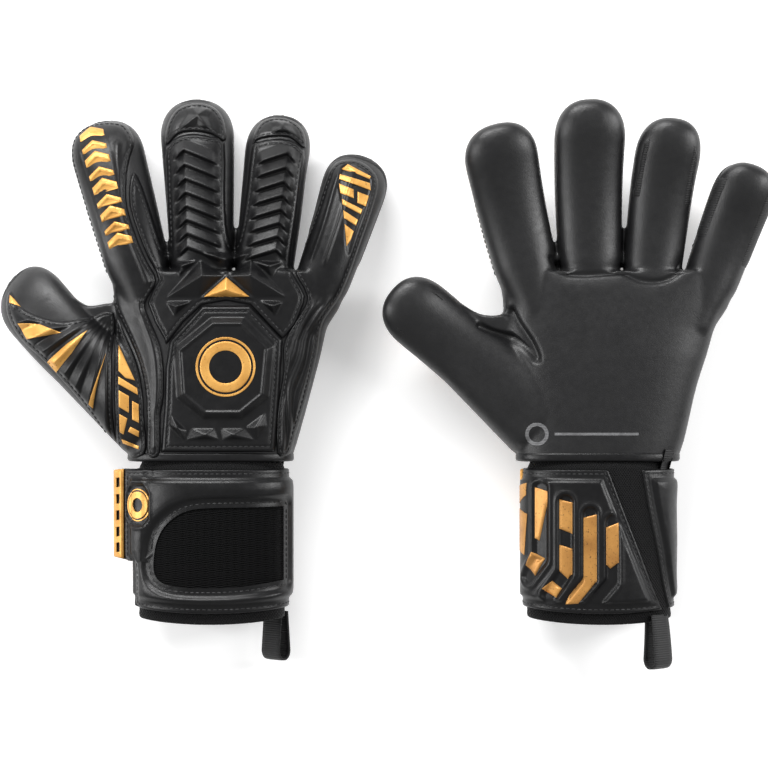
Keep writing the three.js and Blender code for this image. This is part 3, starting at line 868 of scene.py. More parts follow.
def filled(outline, step, insets=(), holes=()):
    """Triangles over an outline: points, triangles and the edges of its border."""
    outline = np.asarray(outline, float)
    loops = [densified(outline, step)] + [densified(hole, step) for hole in holes]
    low, high = outline.min(axis=0), outline.max(axis=0)
    gx, gy = np.meshgrid(np.arange(low[0], high[0], step), np.arange(low[1], high[1], step))
    gx[1::2] += step / 2
    grid = np.column_stack([gx.ravel(), gy.ravel()])
    reach = max(insets, default=0) + 0.55 * step
    grid = grid[depth_in(grid, outline) > reach]
    for hole in holes:
        grid = grid[depth_in(grid, np.asarray(hole, float)) < -reach]
    coords = loops + [inward(loops[0], inset, outline) for inset in insets] + [grid]
    edges, start = [], 0
    for loop in loops:
        edges += [(start + k, start + (k + 1) % len(loop)) for k in range(len(loop))]
        start += len(loop)
    flat = [Vector(p) for p in np.vstack(coords)]
    found = geometry.delaunay_2d_cdt(flat, edges, [list(range(len(loops[0])))], 1, 1e-5, False)
    points = np.array([tuple(v) for v in found[0]])
    faces = np.array([list(f) for f in found[2] if len(f) == 3])
    middle = points[faces].mean(axis=1)
    for hole in holes:
        keep = ~inside(middle, np.asarray(hole, float))
        faces, middle = faces[keep], middle[keep]
    a, b, c = (points[faces[:, k]] for k in range(3))
    turned = np.cross(b - a, c - a) < 0
    faces[turned] = faces[turned][:, ::-1]
    directed = np.vstack([faces[:, [0, 1]], faces[:, [1, 2]], faces[:, [2, 0]]])
    known = {(int(p), int(q)) for p, q in directed}
    border = np.array([(p, q) for p, q in known if (q, p) not in known])
    return points, faces, border


def closed_plate(top, bottom, faces, border):
    """A closed solid between two faces with the same triangles: points, triangles and normals."""
    count = len(top)
    p, q = border.T
    walls = np.vstack([np.column_stack([p, p + count, q]), np.column_stack([q, p + count, q + count])])
    both = np.vstack([faces, faces[:, ::-1] + count])
    points = np.vstack([top, bottom])
    return points, np.vstack([both, walls]), vertex_normals(points, both)


# ------------------------------------------------------------------------------------------------ gold
def add_inlay(name, panel, outline, material, rise=0.4, holes=(), step=0.8, bevel=0.3):
    """A raised print on a back panel."""
    flat, faces, border = filled(outline, step, (bevel,), holes)
    depth = depth_in(flat, np.asarray(outline, float))
    for hole in holes:
        depth = np.minimum(depth, -depth_in(flat, np.asarray(hole, float)))
    base = panel_surface(panel, flat)
    lift = rise * (0.35 + 0.65 * np.sqrt(np.clip(depth / bevel, 0, 1)))
    top = np.column_stack([flat, base + lift])
    bottom = np.column_stack([flat, base - 0.5])
    points, faces, normals = closed_plate(top, bottom, faces, border)
    add_in_segments(name, points, faces, material, normals)


def on_stall(name, corners):
    """Corners given along and across a stall, in the plane."""
    base, along, across = stall_axes(name)
    return np.array([base + along * s + across * t for s, t in corners])


def circle(centre, radius, count=48):
    angle = 2 * np.pi * np.arange(count) / count
    return np.array(centre) + radius * np.column_stack([np.cos(angle), np.sin(angle)])


CHEVRONS = dict(middle=-4.8, half=6.8, first=7.5, last=66.0, pitch=7.3, point=3.6)
CHEVRON_WIDTHS = (3.6, 2.4)
low = CHEVRONS["first"]
middle, half, point = (CHEVRONS[part] for part in ("middle", "half", "point"))
for k in range(int((CHEVRONS["last"] - low) / CHEVRONS["pitch"]) + 1):
    high = low + CHEVRON_WIDTHS[k % 2]
    corners = on_stall("index", [(low, middle - half), (low + point, middle), (low, middle + half),
                                 (high, middle + half), (high + point, middle), (high, middle - half)])
    add_inlay(f"index_chevron_{k}", "index_panel", corners, GOLD, 1.0)
    low += CHEVRONS["pitch"]

add_inlay("knuckle_triangle", "centre_panel", [(15.2, 102.4), (3.4, 92.0), (27.6, 91.9)], GOLD, 0.35,
          step=0.6)
SHIELD_CENTRE = (15.1, 54.5)
add_inlay("shield_ring", "shield_panel", circle(SHIELD_CENTRE, 13.6), GOLD, 0.5,
          (circle(SHIELD_CENTRE, 8.8),))
add_inlay("shield_ring_rim", "shield_panel", circle(SHIELD_CENTRE, 15.9, 64), GOLD, 0.35,
          (circle(SHIELD_CENTRE, 14.7, 64),), 0.7, 0.2)

PINKY_GOLD = [
    [(78.4, 160.6), (81.6, 163.6), (93.4, 157.2), (92.6, 155.6), (82, 161.2)],
    [(77.6, 157.8), (92.8, 153.4), (93.2, 149.4), (77.2, 155)],
    [(77.0, 152.6), (84.4, 149.6), (84.2, 144.8), (77.4, 147.4)],
    [(86.4, 148.4), (92, 146.4), (90.2, 140.6), (86, 142.4)],
    [(77.9, 144.4), (88.4, 139.0), (87.4, 136.4), (78.1, 141.4)],
    [(78.3, 138.4), (85.8, 133.4), (84.6, 130.2), (78.5, 134.2)],
    [(78.6, 131.2), (83.4, 127.2), (81.6, 122.4), (79.4, 119.2)],
]
for k, corners in enumerate(PINKY_GOLD):
    add_inlay(f"pinky_gold_{k}", "pinky_panel", corners, GOLD, 0.6, step=0.7, bevel=0.25)
THUMB_GOLD = {
    "thumb_panel": [
        [(-98.5, 74.6), (-86, 74.4), (-73.8, 71.4), (-82, 69.4), (-93, 67.4)],
        [(-59.4, 73.8), (-70, 66.4), (-81.4, 56.6), (-76.4, 51.2), (-67.6, 61.6)],
        [(-105, 88.8), (-104.4, 84.6), (-97.8, 82.2), (-101, 85.4)],
        [(-58.6, 34.4), (-49.2, 62), (-54.6, 42.4), (-56.4, 32.2)],
    ],
    "strip_panel": [
        [(-42.9, 66.5), (-33.6, 47.3), (-38.6, 48.6), (-42.4, 52.4)],
        [(-42.4, 49.4), (-32.4, 43.2), (-32.0, 39.6), (-42.4, 45.4)],
        [(-42.2, 42.0), (-36.8, 39.0), (-36.8, 30.0), (-42.2, 33.2)],
        [(-35, 36.4), (-31.6, 34.6), (-31.4, 24.6), (-35, 26.4)],
        [(-42, 29.4), (-37.6, 27.0), (-39.8, 18.4), (-42, 19.6)],
        [(-36, 22.6), (-31.4, 20.2), (-31.6, 17), (-37.4, 20)],
        [(-41.2, 15.8), (-31.8, 12.2), (-31.8, 10.4), (-40.6, 13.6)],
    ],
}
placed_gold = [(panel, corners) for panel, shapes in THUMB_GOLD.items() for corners in shapes]
for k, (panel, corners) in enumerate(placed_gold):
    add_inlay(f"thumb_gold_{k}", panel, corners, GOLD, 0.5, step=0.8, bevel=0.25)


# ------------------------------------------------------------------------------------------------ stitches
STITCH = dict(length=2.1, pitch=2.9, thick=0.42)


def stitch_shape():
    """One stitch of length 2 and radius 1 along X."""
    rings = [(-1, 0.1), (-0.75, 0.8), (0, 1), (0.75, 0.8), (1, 0.1)]
    angle = 2 * np.pi * np.arange(6) / 6
    points = [(x, r * math.cos(a), r * math.sin(a)) for x, r in rings for a in angle]
    faces = [[6 * k + i, 6 * k + 6 + i, 6 * k + 6 + (i + 1) % 6, 6 * k + (i + 1) % 6]
             for k in range(4) for i in range(6)]
    return np.array(points), np.array(faces)


STITCH_POINTS, STITCH_FACES = stitch_shape()


def stitches_at(spots, ahead, ups):
    """Points and faces of stitches at spots, lying along one direction and standing up along another."""
    ahead = ahead / np.linalg.norm(ahead, axis=1)[:, None]
    side = np.cross(ups, ahead)
    side /= np.linalg.norm(side, axis=1)[:, None]
    up = np.cross(ahead, side)
    half, thick = STITCH["length"] / 2, STITCH["thick"]
    shape = STITCH_POINTS * (half, thick, thick)
    points = (spots[:, None] + shape[None, :, :1] * ahead[:, None] + shape[None, :, 1:2] * side[:, None]
              + shape[None, :, 2:] * up[:, None])
    faces = STITCH_FACES[None] + (np.arange(len(spots)) * len(shape))[:, None, None]
    return points.reshape(-1, 3), faces.reshape(-1, 4)


def add_stitches(name, spots, ahead, ups):
    """Stitches on the hand, in one piece for each segment."""
    owner = segment_of(spots)
    for k in np.unique(owner):
        points, faces = stitches_at(spots[owner == k], ahead[owner == k], ups[owner == k])
        body, bend = bend_of(SEGMENTS[k])
        add_piece(f"{name}_{SEGMENTS[k]}", points, faces, THREAD, body, bend)


def surface_row(surface, flat, direction):
    """Spots, directions and normals of a row that lies on a height field."""
    here = surface(flat)
    ahead = np.column_stack([direction, (surface(flat + direction) - surface(flat - direction)) / 2])
    across = np.column_stack([-direction[:, 1], direction[:, 0]])
    side = np.column_stack([across, (surface(flat + across) - surface(flat - across)) / 2])
    up = np.cross(ahead, side)
    up /= np.linalg.norm(up, axis=1)[:, None]
    good = (np.abs(ahead[:, 2]) < 1.2) & (here > -25)
    return (np.column_stack([flat, here]) + up * 0.1)[good], ahead[good], up[good]


def inset_row(outline, inset):
    """Spots and directions of stitches along an outline, inset from it; a negative inset is outside it."""
    loop, direction = resampled(outline, STITCH["pitch"], closed=True)
    across = np.column_stack([-direction[:, 1], direction[:, 0]])
    across *= np.sign(depth_in(loop + across * 0.2, outline))[:, None]
    flat = loop + across * inset
    good = np.abs(depth_in(flat, outline) - inset) < 0.35
    return flat[good], direction[good]


panel_rows = []
for panel, (outline, _, _, _, inset) in PANELS.items():
    row = inset_row(outline, inset)
    panel_rows.append(surface_row(lambda p, panel=panel: panel_surface(panel, p), *row))
add_stitches("panel_stitches", *(np.vstack(parts) for parts in zip(*panel_rows)))


# ------------------------------------------------------------------------------------------------ bindings
def outward_hits(centres, directions, reach=17.0):
    """Where rays from a middle line outwards meet the body, and the body's normals there."""
    spots, normals = [], []
    for centre, direction in zip(centres, directions):
        hit = BODY_TREE.ray_cast(Vector(centre), Vector(direction), reach)
        if hit[0] is None:
            hit = BODY_TREE.ray_cast(Vector(centre + SIDESTEP), Vector(direction), reach)
        if hit[0] is None:
            hit = (Vector(centre + direction * 9), Vector(direction))
        spots.append(tuple(hit[0]))
        normals.append(tuple(hit[1]))
    return np.array(spots), np.array(normals)


def evened(values, times, closed=False):
    """Rows of values, each softened by its neighbours."""
    for _ in range(times):
        before, after = np.roll(values, 1, axis=0), np.roll(values, -1, axis=0)
        if not closed:
            before[0], after[-1] = values[0], values[-1]
        values = (before + 2 * values + after) / 4
    return values


BINDING = dict(low=-42, high=2, thick=0.9, end=17)
BINDING_REACH = {"index": (34, 30), "middle": (30, 30), "ring": (30, 30), "pinky": (36, 44),
                 "thumb": (44, 10)}


def binding(name):
    """The binding round the palm side of a fingertip: points and quads."""
    base, along, across = stall_axes(name)
    length = STALLS[name]["length"]
    round_at = length - BINDING["end"]
    left, right = BINDING_REACH[name]
    path = [(round_at - d, -90) for d in np.linspace(left, 1.5, 20)]
    path += [(round_at, a) for a in np.linspace(-90, 90, 41)]
    path += [(round_at - d, 90) for d in np.linspace(1.5, right, 20)]
    rows = np.radians(np.linspace(BINDING["high"], BINDING["low"], 13))
    centres, directions = [], []
    for s, turn in path:
        share = max(s, 0) / length
        centre = np.append(base + along * s, -CURL[name] * share ** 2)
        out = np.append(along * math.cos(math.radians(turn)) + across * math.sin(math.radians(turn)), 0)
        for row in rows:
            centres.append(centre)
            directions.append(out * math.cos(row) + np.array([0, 0, 1]) * math.sin(row))
    spots, normals = outward_hits(centres, np.array(directions))
    count, wide = len(path), len(rows)
    spots, normals = (evened(values.reshape(count, wide, 3), 2).reshape(-1, 3) for values in (spots, normals))
    profile = np.sin(np.linspace(0.0, 1.0, wide) * np.pi) ** 0.35
    ends = np.ones(count)
    ends[:4] = (0, 0.5, 0.8, 1)
    ends[-4:] = (1, 0.8, 0.5, 0)
    lift = (profile[None] * ends[:, None] * BINDING["thick"] - 0.25).ravel()
    points = spots + normals * lift[:, None]
    r, c = np.divmod(np.arange((count - 1) * (wide - 1)), wide - 1)
    a = r * wide + c
    quads = np.column_stack([a, a + wide, a + wide + 1, a + 1])
    return points, quads


for stall_name in STALL_NAMES:
    points, quads = binding(stall_name)
    normals = vertex_normals(points, quads)
    if (normals[:, 2] < 0).mean() <= 0.5:
        quads, normals = quads[:, ::-1], -normals
    add_in_segments(f"binding_{stall_name}", points, quads, BINDING_CLOTH, normals)


# ------------------------------------------------------------------------------------------------ wrist
CUFF = dict(x=SLEEVE_CENTRE_X, width=39.0, depth=20.5, power=2.5)


def cuff_table():
    """The sleeve's outline from the middle of the back over the little finger's side.

    Gives lengths along it, its points and their outward directions.
    """
    angle = np.linspace(np.pi / 2, -3 * np.pi / 2, 1441)
    shaped = lambda v, size: np.sign(v) * np.abs(v) ** (2 / CUFF["power"]) * size
    x = CUFF["x"] + shaped(np.cos(angle), CUFF["width"])
    z = shaped(np.sin(angle), CUFF["depth"])
    length = np.concatenate([[0], np.cumsum(np.hypot(np.diff(x), np.diff(z)))])
    even = np.linspace(0, length[-1], 721)
    x, z = np.interp(even, length, x), np.interp(even, length, z)
    dx = np.gradient(np.concatenate([x[-9:-1], x, x[1:9]]))[8:-8]
    dz = np.gradient(np.concatenate([z[-9:-1], z, z[1:9]]))[8:-8]
    kernel = np.ones(9) / 9
    soft = lambda v: np.convolve(np.concatenate([v[-5:-1], v, v[1:5]]), kernel, "valid")
    nx, nz = soft(-dz), soft(dx)
    size = np.hypot(nx, nz)
    return even, x, z, nx / size, nz / size


WRAP, WRAP_X, WRAP_Z, WRAP_NX, WRAP_NZ = cuff_table()
ROUND = WRAP[-1]
if WRAP_NZ[0] < 0:
    WRAP_NX, WRAP_NZ = -WRAP_NX, -WRAP_NZ
STRAP_BOTTOM = -74.0
DROOP = 3.4
TAB_X = -26.5
TAB_BOTTOM = -49.4


def on_cuff(wrap, y, offset):
    """Points at a distance round the wrist, a height and an offset from the sleeve."""
    wrap = np.asarray(wrap, float) % ROUND
    x = np.interp(wrap, WRAP, WRAP_X) + np.interp(wrap, WRAP, WRAP_NX) * offset
    z = np.interp(wrap, WRAP, WRAP_Z) + np.interp(wrap, WRAP, WRAP_NZ) * offset
    share = np.clip(-np.asarray(y, float) / -STRAP_BOTTOM, 0, 1.2)
    droop = DROOP * share * (1 - np.clip(np.abs(x - CUFF["x"]) / 44, 0, 1) ** 2)
    return np.column_stack([x, y - droop, z])


def back_wrap(x, offset=4.0):
    """Distance round the wrist of a place on its back, from its X."""
    quarter = (WRAP_NZ > 0.02) & (WRAP < ROUND / 2)
    other = (WRAP_NZ > 0.02) & (WRAP > ROUND / 2)
    table = np.column_stack([WRAP_X + WRAP_NX * offset, WRAP])
    right, left = table[quarter], table[other] - (0, ROUND)
    both = np.vstack([left, right])
    return np.interp(x, both[:, 0], both[:, 1])


def palm_wrap(x, offset=4.0):
    """Distance round the wrist of a place on its palm side, from its X."""
    low = WRAP_NZ < -0.02
    table = np.column_stack([WRAP_X + WRAP_NX * offset, WRAP])[low][::-1]
    return np.interp(x, table[:, 0], table[:, 1])


def on_back(corners):
    return np.array([(back_wrap(x), y) for x, y in corners])


def on_palm(corners):
    return np.array([(palm_wrap(x), y) for x, y in corners])


def add_cuff_plate(name, outline, height, inner, material, slot, body, step=1.0, insets=(0.3, 0.8), bend=None,
                   stands_for=(), sides=("right", "left"), holes=(), padded=None, place=on_cuff):
    """A closed plate round the wrist; its outside is a function of (wrap, y) points."""
    flat, faces, border = filled(outline, step, insets, holes)
    top = place(flat[:, 0], flat[:, 1], height(flat))
    bottom = place(flat[:, 0], flat[:, 1], np.minimum(inner, height(flat) - 0.2))
    points, faces, normals = closed_plate(top, bottom, faces, border)
    add_piece(name, points, faces[:, ::-1], material, body, bend, -normals, stands_for, sides)


def level(height):
    """The height of a plate of one thickness."""
    return lambda flat: np.full(len(flat), height)


def edge_round(depth, radius, full):
    """The height of a plate with a rounded edge."""
    share = np.clip(depth / radius, 0, 1)
    return full * np.sqrt(1 - (1 - share) ** 2)


WINDOW_END = rounded([(8, -19.7), (-2.5, -20.6), (-11, -23.8), (-18.3, -30), (-22.6, -38), (-24.8, -48),
                      (-24.6, -54.4), (-21.6, -58.4), (-15, -60.2), (-4, -60.6)], closed=False, steps=3)
WINDOW_OUTLINE = on_back(np.vstack([[(46.9, -59.0), (46.9, -19.8), (20, -19.6)], WINDOW_END, [(20, -60.4)]]))
TAB_ROOT = float(back_wrap(TAB_X + 1.5))
TAB_LENGTH = 18.4
GRIP_LENGTH = 8.6
TAB_EDGE = TAB_ROOT - TAB_LENGTH
LOW_END = TAB_ROOT - np.array([16.4, 14.4, 14.4, 12.8, 9.6])
LOW_CORNERS = np.column_stack([LOW_END, (TAB_BOTTOM, -52.6, -69, -72.4, STRAP_BOTTOM)])
WEDGE = on_palm([(28.2, 0), (44.8, STRAP_BOTTOM)])


def strap_outline(corners):
    """The strap's outline, from its root on the palm side round the back to the corners of its end."""
    rows = [WEDGE[:1], [(0, 0)], corners, LOW_CORNERS, [(0, STRAP_BOTTOM)], WEDGE[1:]]
    return densified(np.vstack(rows), 6)


STRAP_OUTLINE = strap_outline([(TAB_EDGE, 0), (TAB_EDGE, -48.4)])
STRAP_BODY_OUTLINE = strap_outline([(TAB_ROOT, 0), (TAB_ROOT, TAB_BOTTOM)])
HEM = 5.4
HEM_HEIGHT = 2.7
PAD_HEIGHT = 5.0
BORDER_WIDTH = 4.6
BADGE = np.array([TAB_ROOT - 8.2, -19.3])
RECESS = BADGE + np.array([(-4, 12), (4, 12), (8.2, 6.5), (8.2, -6.5), (4, -12), (-4, -12), (-8.2, -6.5),
                           (-8.2, 6.5)])


def strap_height(flat):
    """The strap's thickness: a flat hem, a padded band and a sunk border round the window."""
    depth = depth_in(flat, STRAP_OUTLINE)
    window = -depth_in(flat, WINDOW_OUTLINE)
    back = flat[:, 0] < back_wrap(47.4)
    pad = smooth(HEM - 0.6, HEM + 1.4, depth) * smooth(BORDER_WIDTH - 0.6, BORDER_WIDTH + 1.6, window)
    crown = 0.5 * smooth(HEM, HEM + 5, depth) * smooth(BORDER_WIDTH, BORDER_WIDTH + 5, window)
    height = edge_round(depth, 0.9, HEM_HEIGHT) + (PAD_HEIGHT - HEM_HEIGHT - 0.4 + crown) * pad
    height -= 0.35 * np.exp(-((depth - 2.4) / 0.5) ** 2)
    height -= 0.35 * np.exp(-((window - 2.3) / 0.5) ** 2) * back
    height += 0.3 * np.exp(-((depth - HEM - 0.2) / 0.5) ** 2)
    recess = depth_in(flat, RECESS)
    height += 0.5 * np.exp(-(recess / 0.8) ** 2) - 1.9 * smooth(-0.2, 1.4, recess)
    return np.where(recess > -0.5, np.maximum(height, 2.1), height)


HINGE_BEND = ("strap", (47.5, 0, 1), (37.5, 0, 17))
add_cuff_plate("strap_wrap", STRAP_BODY_OUTLINE, strap_height, 1.4, PANEL, "panel_foam", "cuff", 0.9,
               bend=HINGE_BEND, stands_for=("strap_root_panel", "strap_back_panel"), holes=(WINDOW_OUTLINE,),
               padded=0.7)


def window_height(flat):
    return 2.0 + 0.5 * smooth(0, 6, depth_in(flat, WINDOW_OUTLINE))


add_cuff_plate("strap_window", WINDOW_OUTLINE, window_height, 1.2, WINDOW, "knit", "cuff", 1.5,
               bend=HINGE_BEND,
               stands_for=("strap_mesh_window",))

# The tab: on the right glove it stands off the wrist, on the left one it lies round it.
TAB_CURVE = rounded([(-25, 19.3), (-33, 15.8), (-41.4, 10.4), (-44.8, 7.0), (-46.9, 2.6)], closed=False)
TAB_REACH = np.concatenate([[0], np.cumsum(np.hypot(*np.diff(TAB_CURVE, axis=0).T))])
TAB_TURN = np.gradient(TAB_CURVE, axis=0)
TAB_TURN /= np.hypot(*TAB_TURN.T)[:, None]
STRAP_FACE = 4.0


def on_open_tab(wrap, y, offset):
    """The tab standing off the wrist, in the same coordinates as on_cuff."""
    distance = TAB_ROOT - np.asarray(wrap, float)
    x, z = (np.interp(distance, TAB_REACH, TAB_CURVE[:, k]) for k in (0, 1))
    tx, tz = (np.interp(distance, TAB_REACH, TAB_TURN[:, k]) for k in (0, 1))
    rise = offset - STRAP_FACE
    free = np.column_stack([x + tz * rise, y, z - tx * rise])
    share = smooth(0, 6, distance)[:, None]
    return on_cuff(wrap, y, offset) * (1 - share) + free * share


def on_closed_tab(wrap, y, offset):
    """The tab lying round the wrist, drawn in a little."""
    distance = TAB_ROOT - np.asarray(wrap, float)
    return on_cuff(TAB_ROOT - distance * 0.66, y, offset)


TAB_BEND = ("strap_tab", (TAB_X + 1.5, 0, 20), (TAB_X - 4.5, 0, 20))
TAB_END = TAB_EDGE - GRIP_LENGTH
TAB_OUTLINE = np.array([(TAB_ROOT, 0), (TAB_EDGE, 0), (TAB_END + 1, -0.6), (TAB_END + 1, -47.8),
                        (TAB_EDGE, -48.4), (LOW_END[0], TAB_BOTTOM), (TAB_ROOT, TAB_BOTTOM)])
GRIP_OUTLINE = np.array([(TAB_EDGE, -0.2), (TAB_END, -0.6), (TAB_END, -47.8), (TAB_EDGE, -48.2)])
GRIP_SLOTS = [np.array([(TAB_EDGE - 1.6, y), (TAB_END + 2.4, y - 0.6), (TAB_END + 2.4, y - 5.8),
                        (TAB_EDGE - 1.6, y - 5.2)]) for y in (-4.6, -13.4, -22.2, -31.0, -39.4)]


def tab_height(flat):
    """The tab's thickness, thinner under its gold grip."""
    under_grip = smooth(TAB_EDGE + 0.4, TAB_EDGE - 0.4, flat[:, 0])
    return strap_height(flat) * (1 - under_grip) + 2.4 * under_grip


def grip_height(flat):
    return 2.7 + edge_round(depth_in(flat, GRIP_OUTLINE), 0.5, 1.4)


def oval(radius, count):
    """The badge's ring outline, a little narrower round the wrist."""
    return BADGE + circle((0, 0), radius, count) * (0.86, 1)


def ring_height(flat):
    return strap_height(flat) + 1.1


def rim_height(flat):
    return strap_height(flat) + 0.6


HOOK_PATCH = np.array([(TAB_ROOT - 3, -4), (TAB_EDGE - 4, -4), (TAB_EDGE - 4, -44.5), (TAB_ROOT - 3, -44.5)])
LOOP_PATCH = np.array([(TAB_ROOT - 2, -3), (TAB_ROOT - 30, -3), (TAB_ROOT - 30, -47), (TAB_ROOT - 2, -47)])
TAB_PLACES = {"right": on_open_tab, "left": on_closed_tab}
for side_name, tab_place in TAB_PLACES.items():
    shared = dict(sides=(side_name,), place=tab_place)
    add_cuff_plate("tab", TAB_OUTLINE, tab_height, 1.6, PANEL, "panel_foam", "strap", 0.9, bend=TAB_BEND,
                   stands_for=("strap_tab",), padded=0.7, **shared)
    add_cuff_plate("tab_grip", GRIP_OUTLINE, grip_height, 2.2, GOLD, "gold_trim", "strap_tab", 0.8, (0.3,),
                   stands_for=("pull_grip",), holes=GRIP_SLOTS, **shared)
    add_cuff_plate("tab_ring", oval(7.2, 48), ring_height, 2.0, GOLD, "gold_trim", "strap_tab", 0.7, (0.3,),
                   stands_for=("tab_badge",), holes=(oval(3.8, 32),), **shared)
    add_cuff_plate("tab_ring_rim", oval(8.7, 64), rim_height, 2.0, GOLD, "gold_trim", "strap_tab", 0.7, (),
                   holes=(oval(8.1, 64),), **shared)
    add_cuff_plate("hook_patch", HOOK_PATCH, level(1.5), 0.9, HOOKS, "webbing", "strap_tab", 1.6, (),
                   stands_for=("hook_patch",), **shared)
add_cuff_plate("loop_patch", LOOP_PATCH, level(0.8), 0.0, HOOKS, "webbing", "cuff", 1.6, (),
               stands_for=("loop_patch",))

# Palm side of the wrist: a padded panel with bronze bars and a slanting knit band.
PALM_LEFT = WRAP[np.argmin(WRAP_X)] + 4
PALM_EDGE = on_palm([(9.6, 0), (41.2, STRAP_BOTTOM)])
PALM_PANEL = densified(np.array([PALM_EDGE[0], PALM_EDGE[1], (PALM_LEFT, STRAP_BOTTOM), (PALM_LEFT, 0)]), 6)
BAND_EDGE = on_palm([(29.0, 0), (45.4, STRAP_BOTTOM)])
MESH_BAND = np.array([BAND_EDGE[0], BAND_EDGE[1], PALM_EDGE[1] + (1.0, 0), PALM_EDGE[0] + (1.0, 0)])
BAR_WIDTH = 7.2
PALM_BARS = [
    [(11.6, -26.7), (11.6, -57), (0, -69.4)],
    [(-0.4, -22.6), (-0.4, -56.4), (-11.6, -69)],
    [(-13.4, -16.6), (-13.4, -53), (-22, -66)],
    [(-26.4, -9.6), (-26.4, -47), (-33, -58)],
]


def palm_bar_depth(flat):
    """Depth inside the nearest of the panel's sunk bars."""
    nearest = np.min([line_distance(flat, on_palm(line)) for line in PALM_BARS], axis=0)
    return BAR_WIDTH / 2 - nearest


def palm_height(flat):
    depth = depth_in(flat, PALM_PANEL)
    pad = smooth(HEM - 0.6, HEM + 1.4, depth)
    height = edge_round(depth, 0.9, HEM_HEIGHT) + (PAD_HEIGHT - HEM_HEIGHT - 0.5) * pad
    height -= 0.35 * np.exp(-((depth - 2.4) / 0.5) ** 2)
    bars_depth = palm_bar_depth(flat)
    height += 0.7 * np.exp(-((bars_depth + 1.3) / 0.9) ** 2) * pad
    height -= 1.5 * smooth(-0.4, 0.8, bars_depth) * pad
    return height


add_cuff_plate("palm_strap_panel", PALM_PANEL, palm_height, 0.6, PANEL, "panel_foam", "cuff", 0.9,
               stands_for=("cuff_palm_panel",), padded=0.7)
add_cuff_plate("palm_mesh_band", MESH_BAND, level(1.7), 0.3, KNIT, "knit", "cuff", 2.0, ())

PALM_GOLD = [
    [(15.0, -27.2), (15.0, -47.4), (10.4, -50.5), (8.2, -48.4), (8.2, -29.6)],
    [(3.0, -22.9), (3.0, -56.8), (-6.9, -68.6), (-13.6, -69.4), (-3.9, -57.4), (-3.9, -24.6)],
    [(-10.0, -17), (-10.0, -33), (-16.8, -30.6), (-16.8, -15.4)],
    [(-10.0, -40.6), (-10.0, -53.4), (-12.4, -56.2), (-16.8, -52.6), (-16.8, -38.8)],
    [(-15.6, -61.4), (-18.6, -66.4), (-25.4, -62.4), (-20.6, -57.8), (-19.2, -60.4)],
    [(-23.0, -11.6), (-22.8, -16), (-27.6, -37.6), (-29.6, -36.4), (-29.6, -9.6)],
    [(-24.6, -46.6), (-29.8, -56.2), (-33.4, -51.4), (-30.6, -43.8), (-29, -48.6)],
]
SIDE_GOLD = [
    [(-33.4, -7.6), (-36.4, -9.4), (-36.6, -20), (-33.6, -14)],
    [(-33.0, -24), (-36.6, -21), (-36.6, -43), (-34.4, -46)],
]


def crowned(outline):
    """The height of a bronze bar with a rounded edge, on the palm panel."""
    def height(flat):
        return palm_height(flat) + 0.25 + 0.55 * np.sqrt(np.clip(depth_in(flat, outline) / 0.9, 0, 1))
    return height


for k, corners in enumerate(PALM_GOLD):
    outline = on_palm(corners)
    add_cuff_plate(f"palm_gold_{k}", outline, crowned(outline), 1.6, BRONZE, "gold_trim", "cuff", 0.9,
                   (0.3, 0.9))
for k, corners in enumerate(SIDE_GOLD):
    add_cuff_plate(f"palm_side_gold_{k}", on_palm(corners), lambda flat: palm_height(flat) + 0.3, 1.6, BRONZE,
                   "gold_trim", "cuff", 0.9, (0.3,))


def add_cuff_stitches(name, spots, direction, height, body, bend=None, sides=("right", "left"),
                      place=on_cuff):
    """A row of stitches on a plate round the wrist."""
    tall = height(spots)
    here = place(spots[:, 0], spots[:, 1], tall + 0.1)
    after, before = spots + direction, spots - direction
    ahead = place(after[:, 0], after[:, 1], tall) - place(before[:, 0], before[:, 1], tall)
    up = place(spots[:, 0], spots[:, 1], tall + 1.1) - here
    points, faces = stitches_at(here, ahead, up)
    add_piece(name, points, faces, THREAD, body, bend, sides=sides)


strap_rows = [np.vstack(parts) for parts in zip(inset_row(STRAP_OUTLINE, 2.4),
                                                inset_row(WINDOW_OUTLINE, -2.3))]
on_tab = (strap_rows[0][:, 0] < TAB_ROOT) & (strap_rows[0][:, 1] > TAB_BOTTOM)
on_grip = strap_rows[0][:, 0] < TAB_EDGE + 1.4
on_strap = [values[~on_tab] for values in strap_rows]
tab_row = [values[on_tab & ~on_grip] for values in strap_rows]
add_cuff_stitches("strap_stitches", *on_strap, strap_height, "cuff", HINGE_BEND)
for side_name, tab_place in TAB_PLACES.items():
    add_cuff_stitches("tab_stitches", *tab_row, strap_height, "strap", TAB_BEND, (side_name,), tab_place)
add_cuff_stitches("palm_strap_stitches", *inset_row(PALM_PANEL, 2.4), palm_height, "cuff")


# ---- knit sleeve and hem
def ring_solid(rows):
    """A closed ring through rows of points that go round the wrist."""
    count = len(rows[0])
    points = np.vstack(rows)
    total = len(rows)
    r, c = np.divmod(np.arange(total * count), count)
    a = r * count + c
    b = r * count + (c + 1) % count
    up = ((r + 1) % total) * count
    return points, np.column_stack([a, b, up + (c + 1) % count, up + c])


def turned_out(points, quads, middle, outer=slice(None)):
    """Quads turned so that their outer points face away from a middle, and the points' normals."""
    normals = vertex_normals(points, quads)
    if (normals * (points - middle))[outer].sum() < 0:
        return quads[:, ::-1], -normals
    return quads, normals


def wrist_line(points):
    """The points' nearest places on the line through the middle of the wrist."""
    return points * (0, 1, 0) + (SLEEVE_CENTRE_X, 0, 0)


SLEEVE_COUNT = 180
SLEEVE_OUTSIDE = [(12, -3.4), (9, -2.8), (6, -2.2), (3.5, -1.4), (1.5, -0.4), (0, 0.1), (-4, 0.3)]
SLEEVE_HEM = [(-77.6, 0.4), (-78.9, 0.1), (-79.4, -0.6), (-79, -1.6), (-74, -1.9)]
SLEEVE_INSIDE = [(-40, -1.9), (0, -2.2), (6, -4.0), (12, -4.8)]


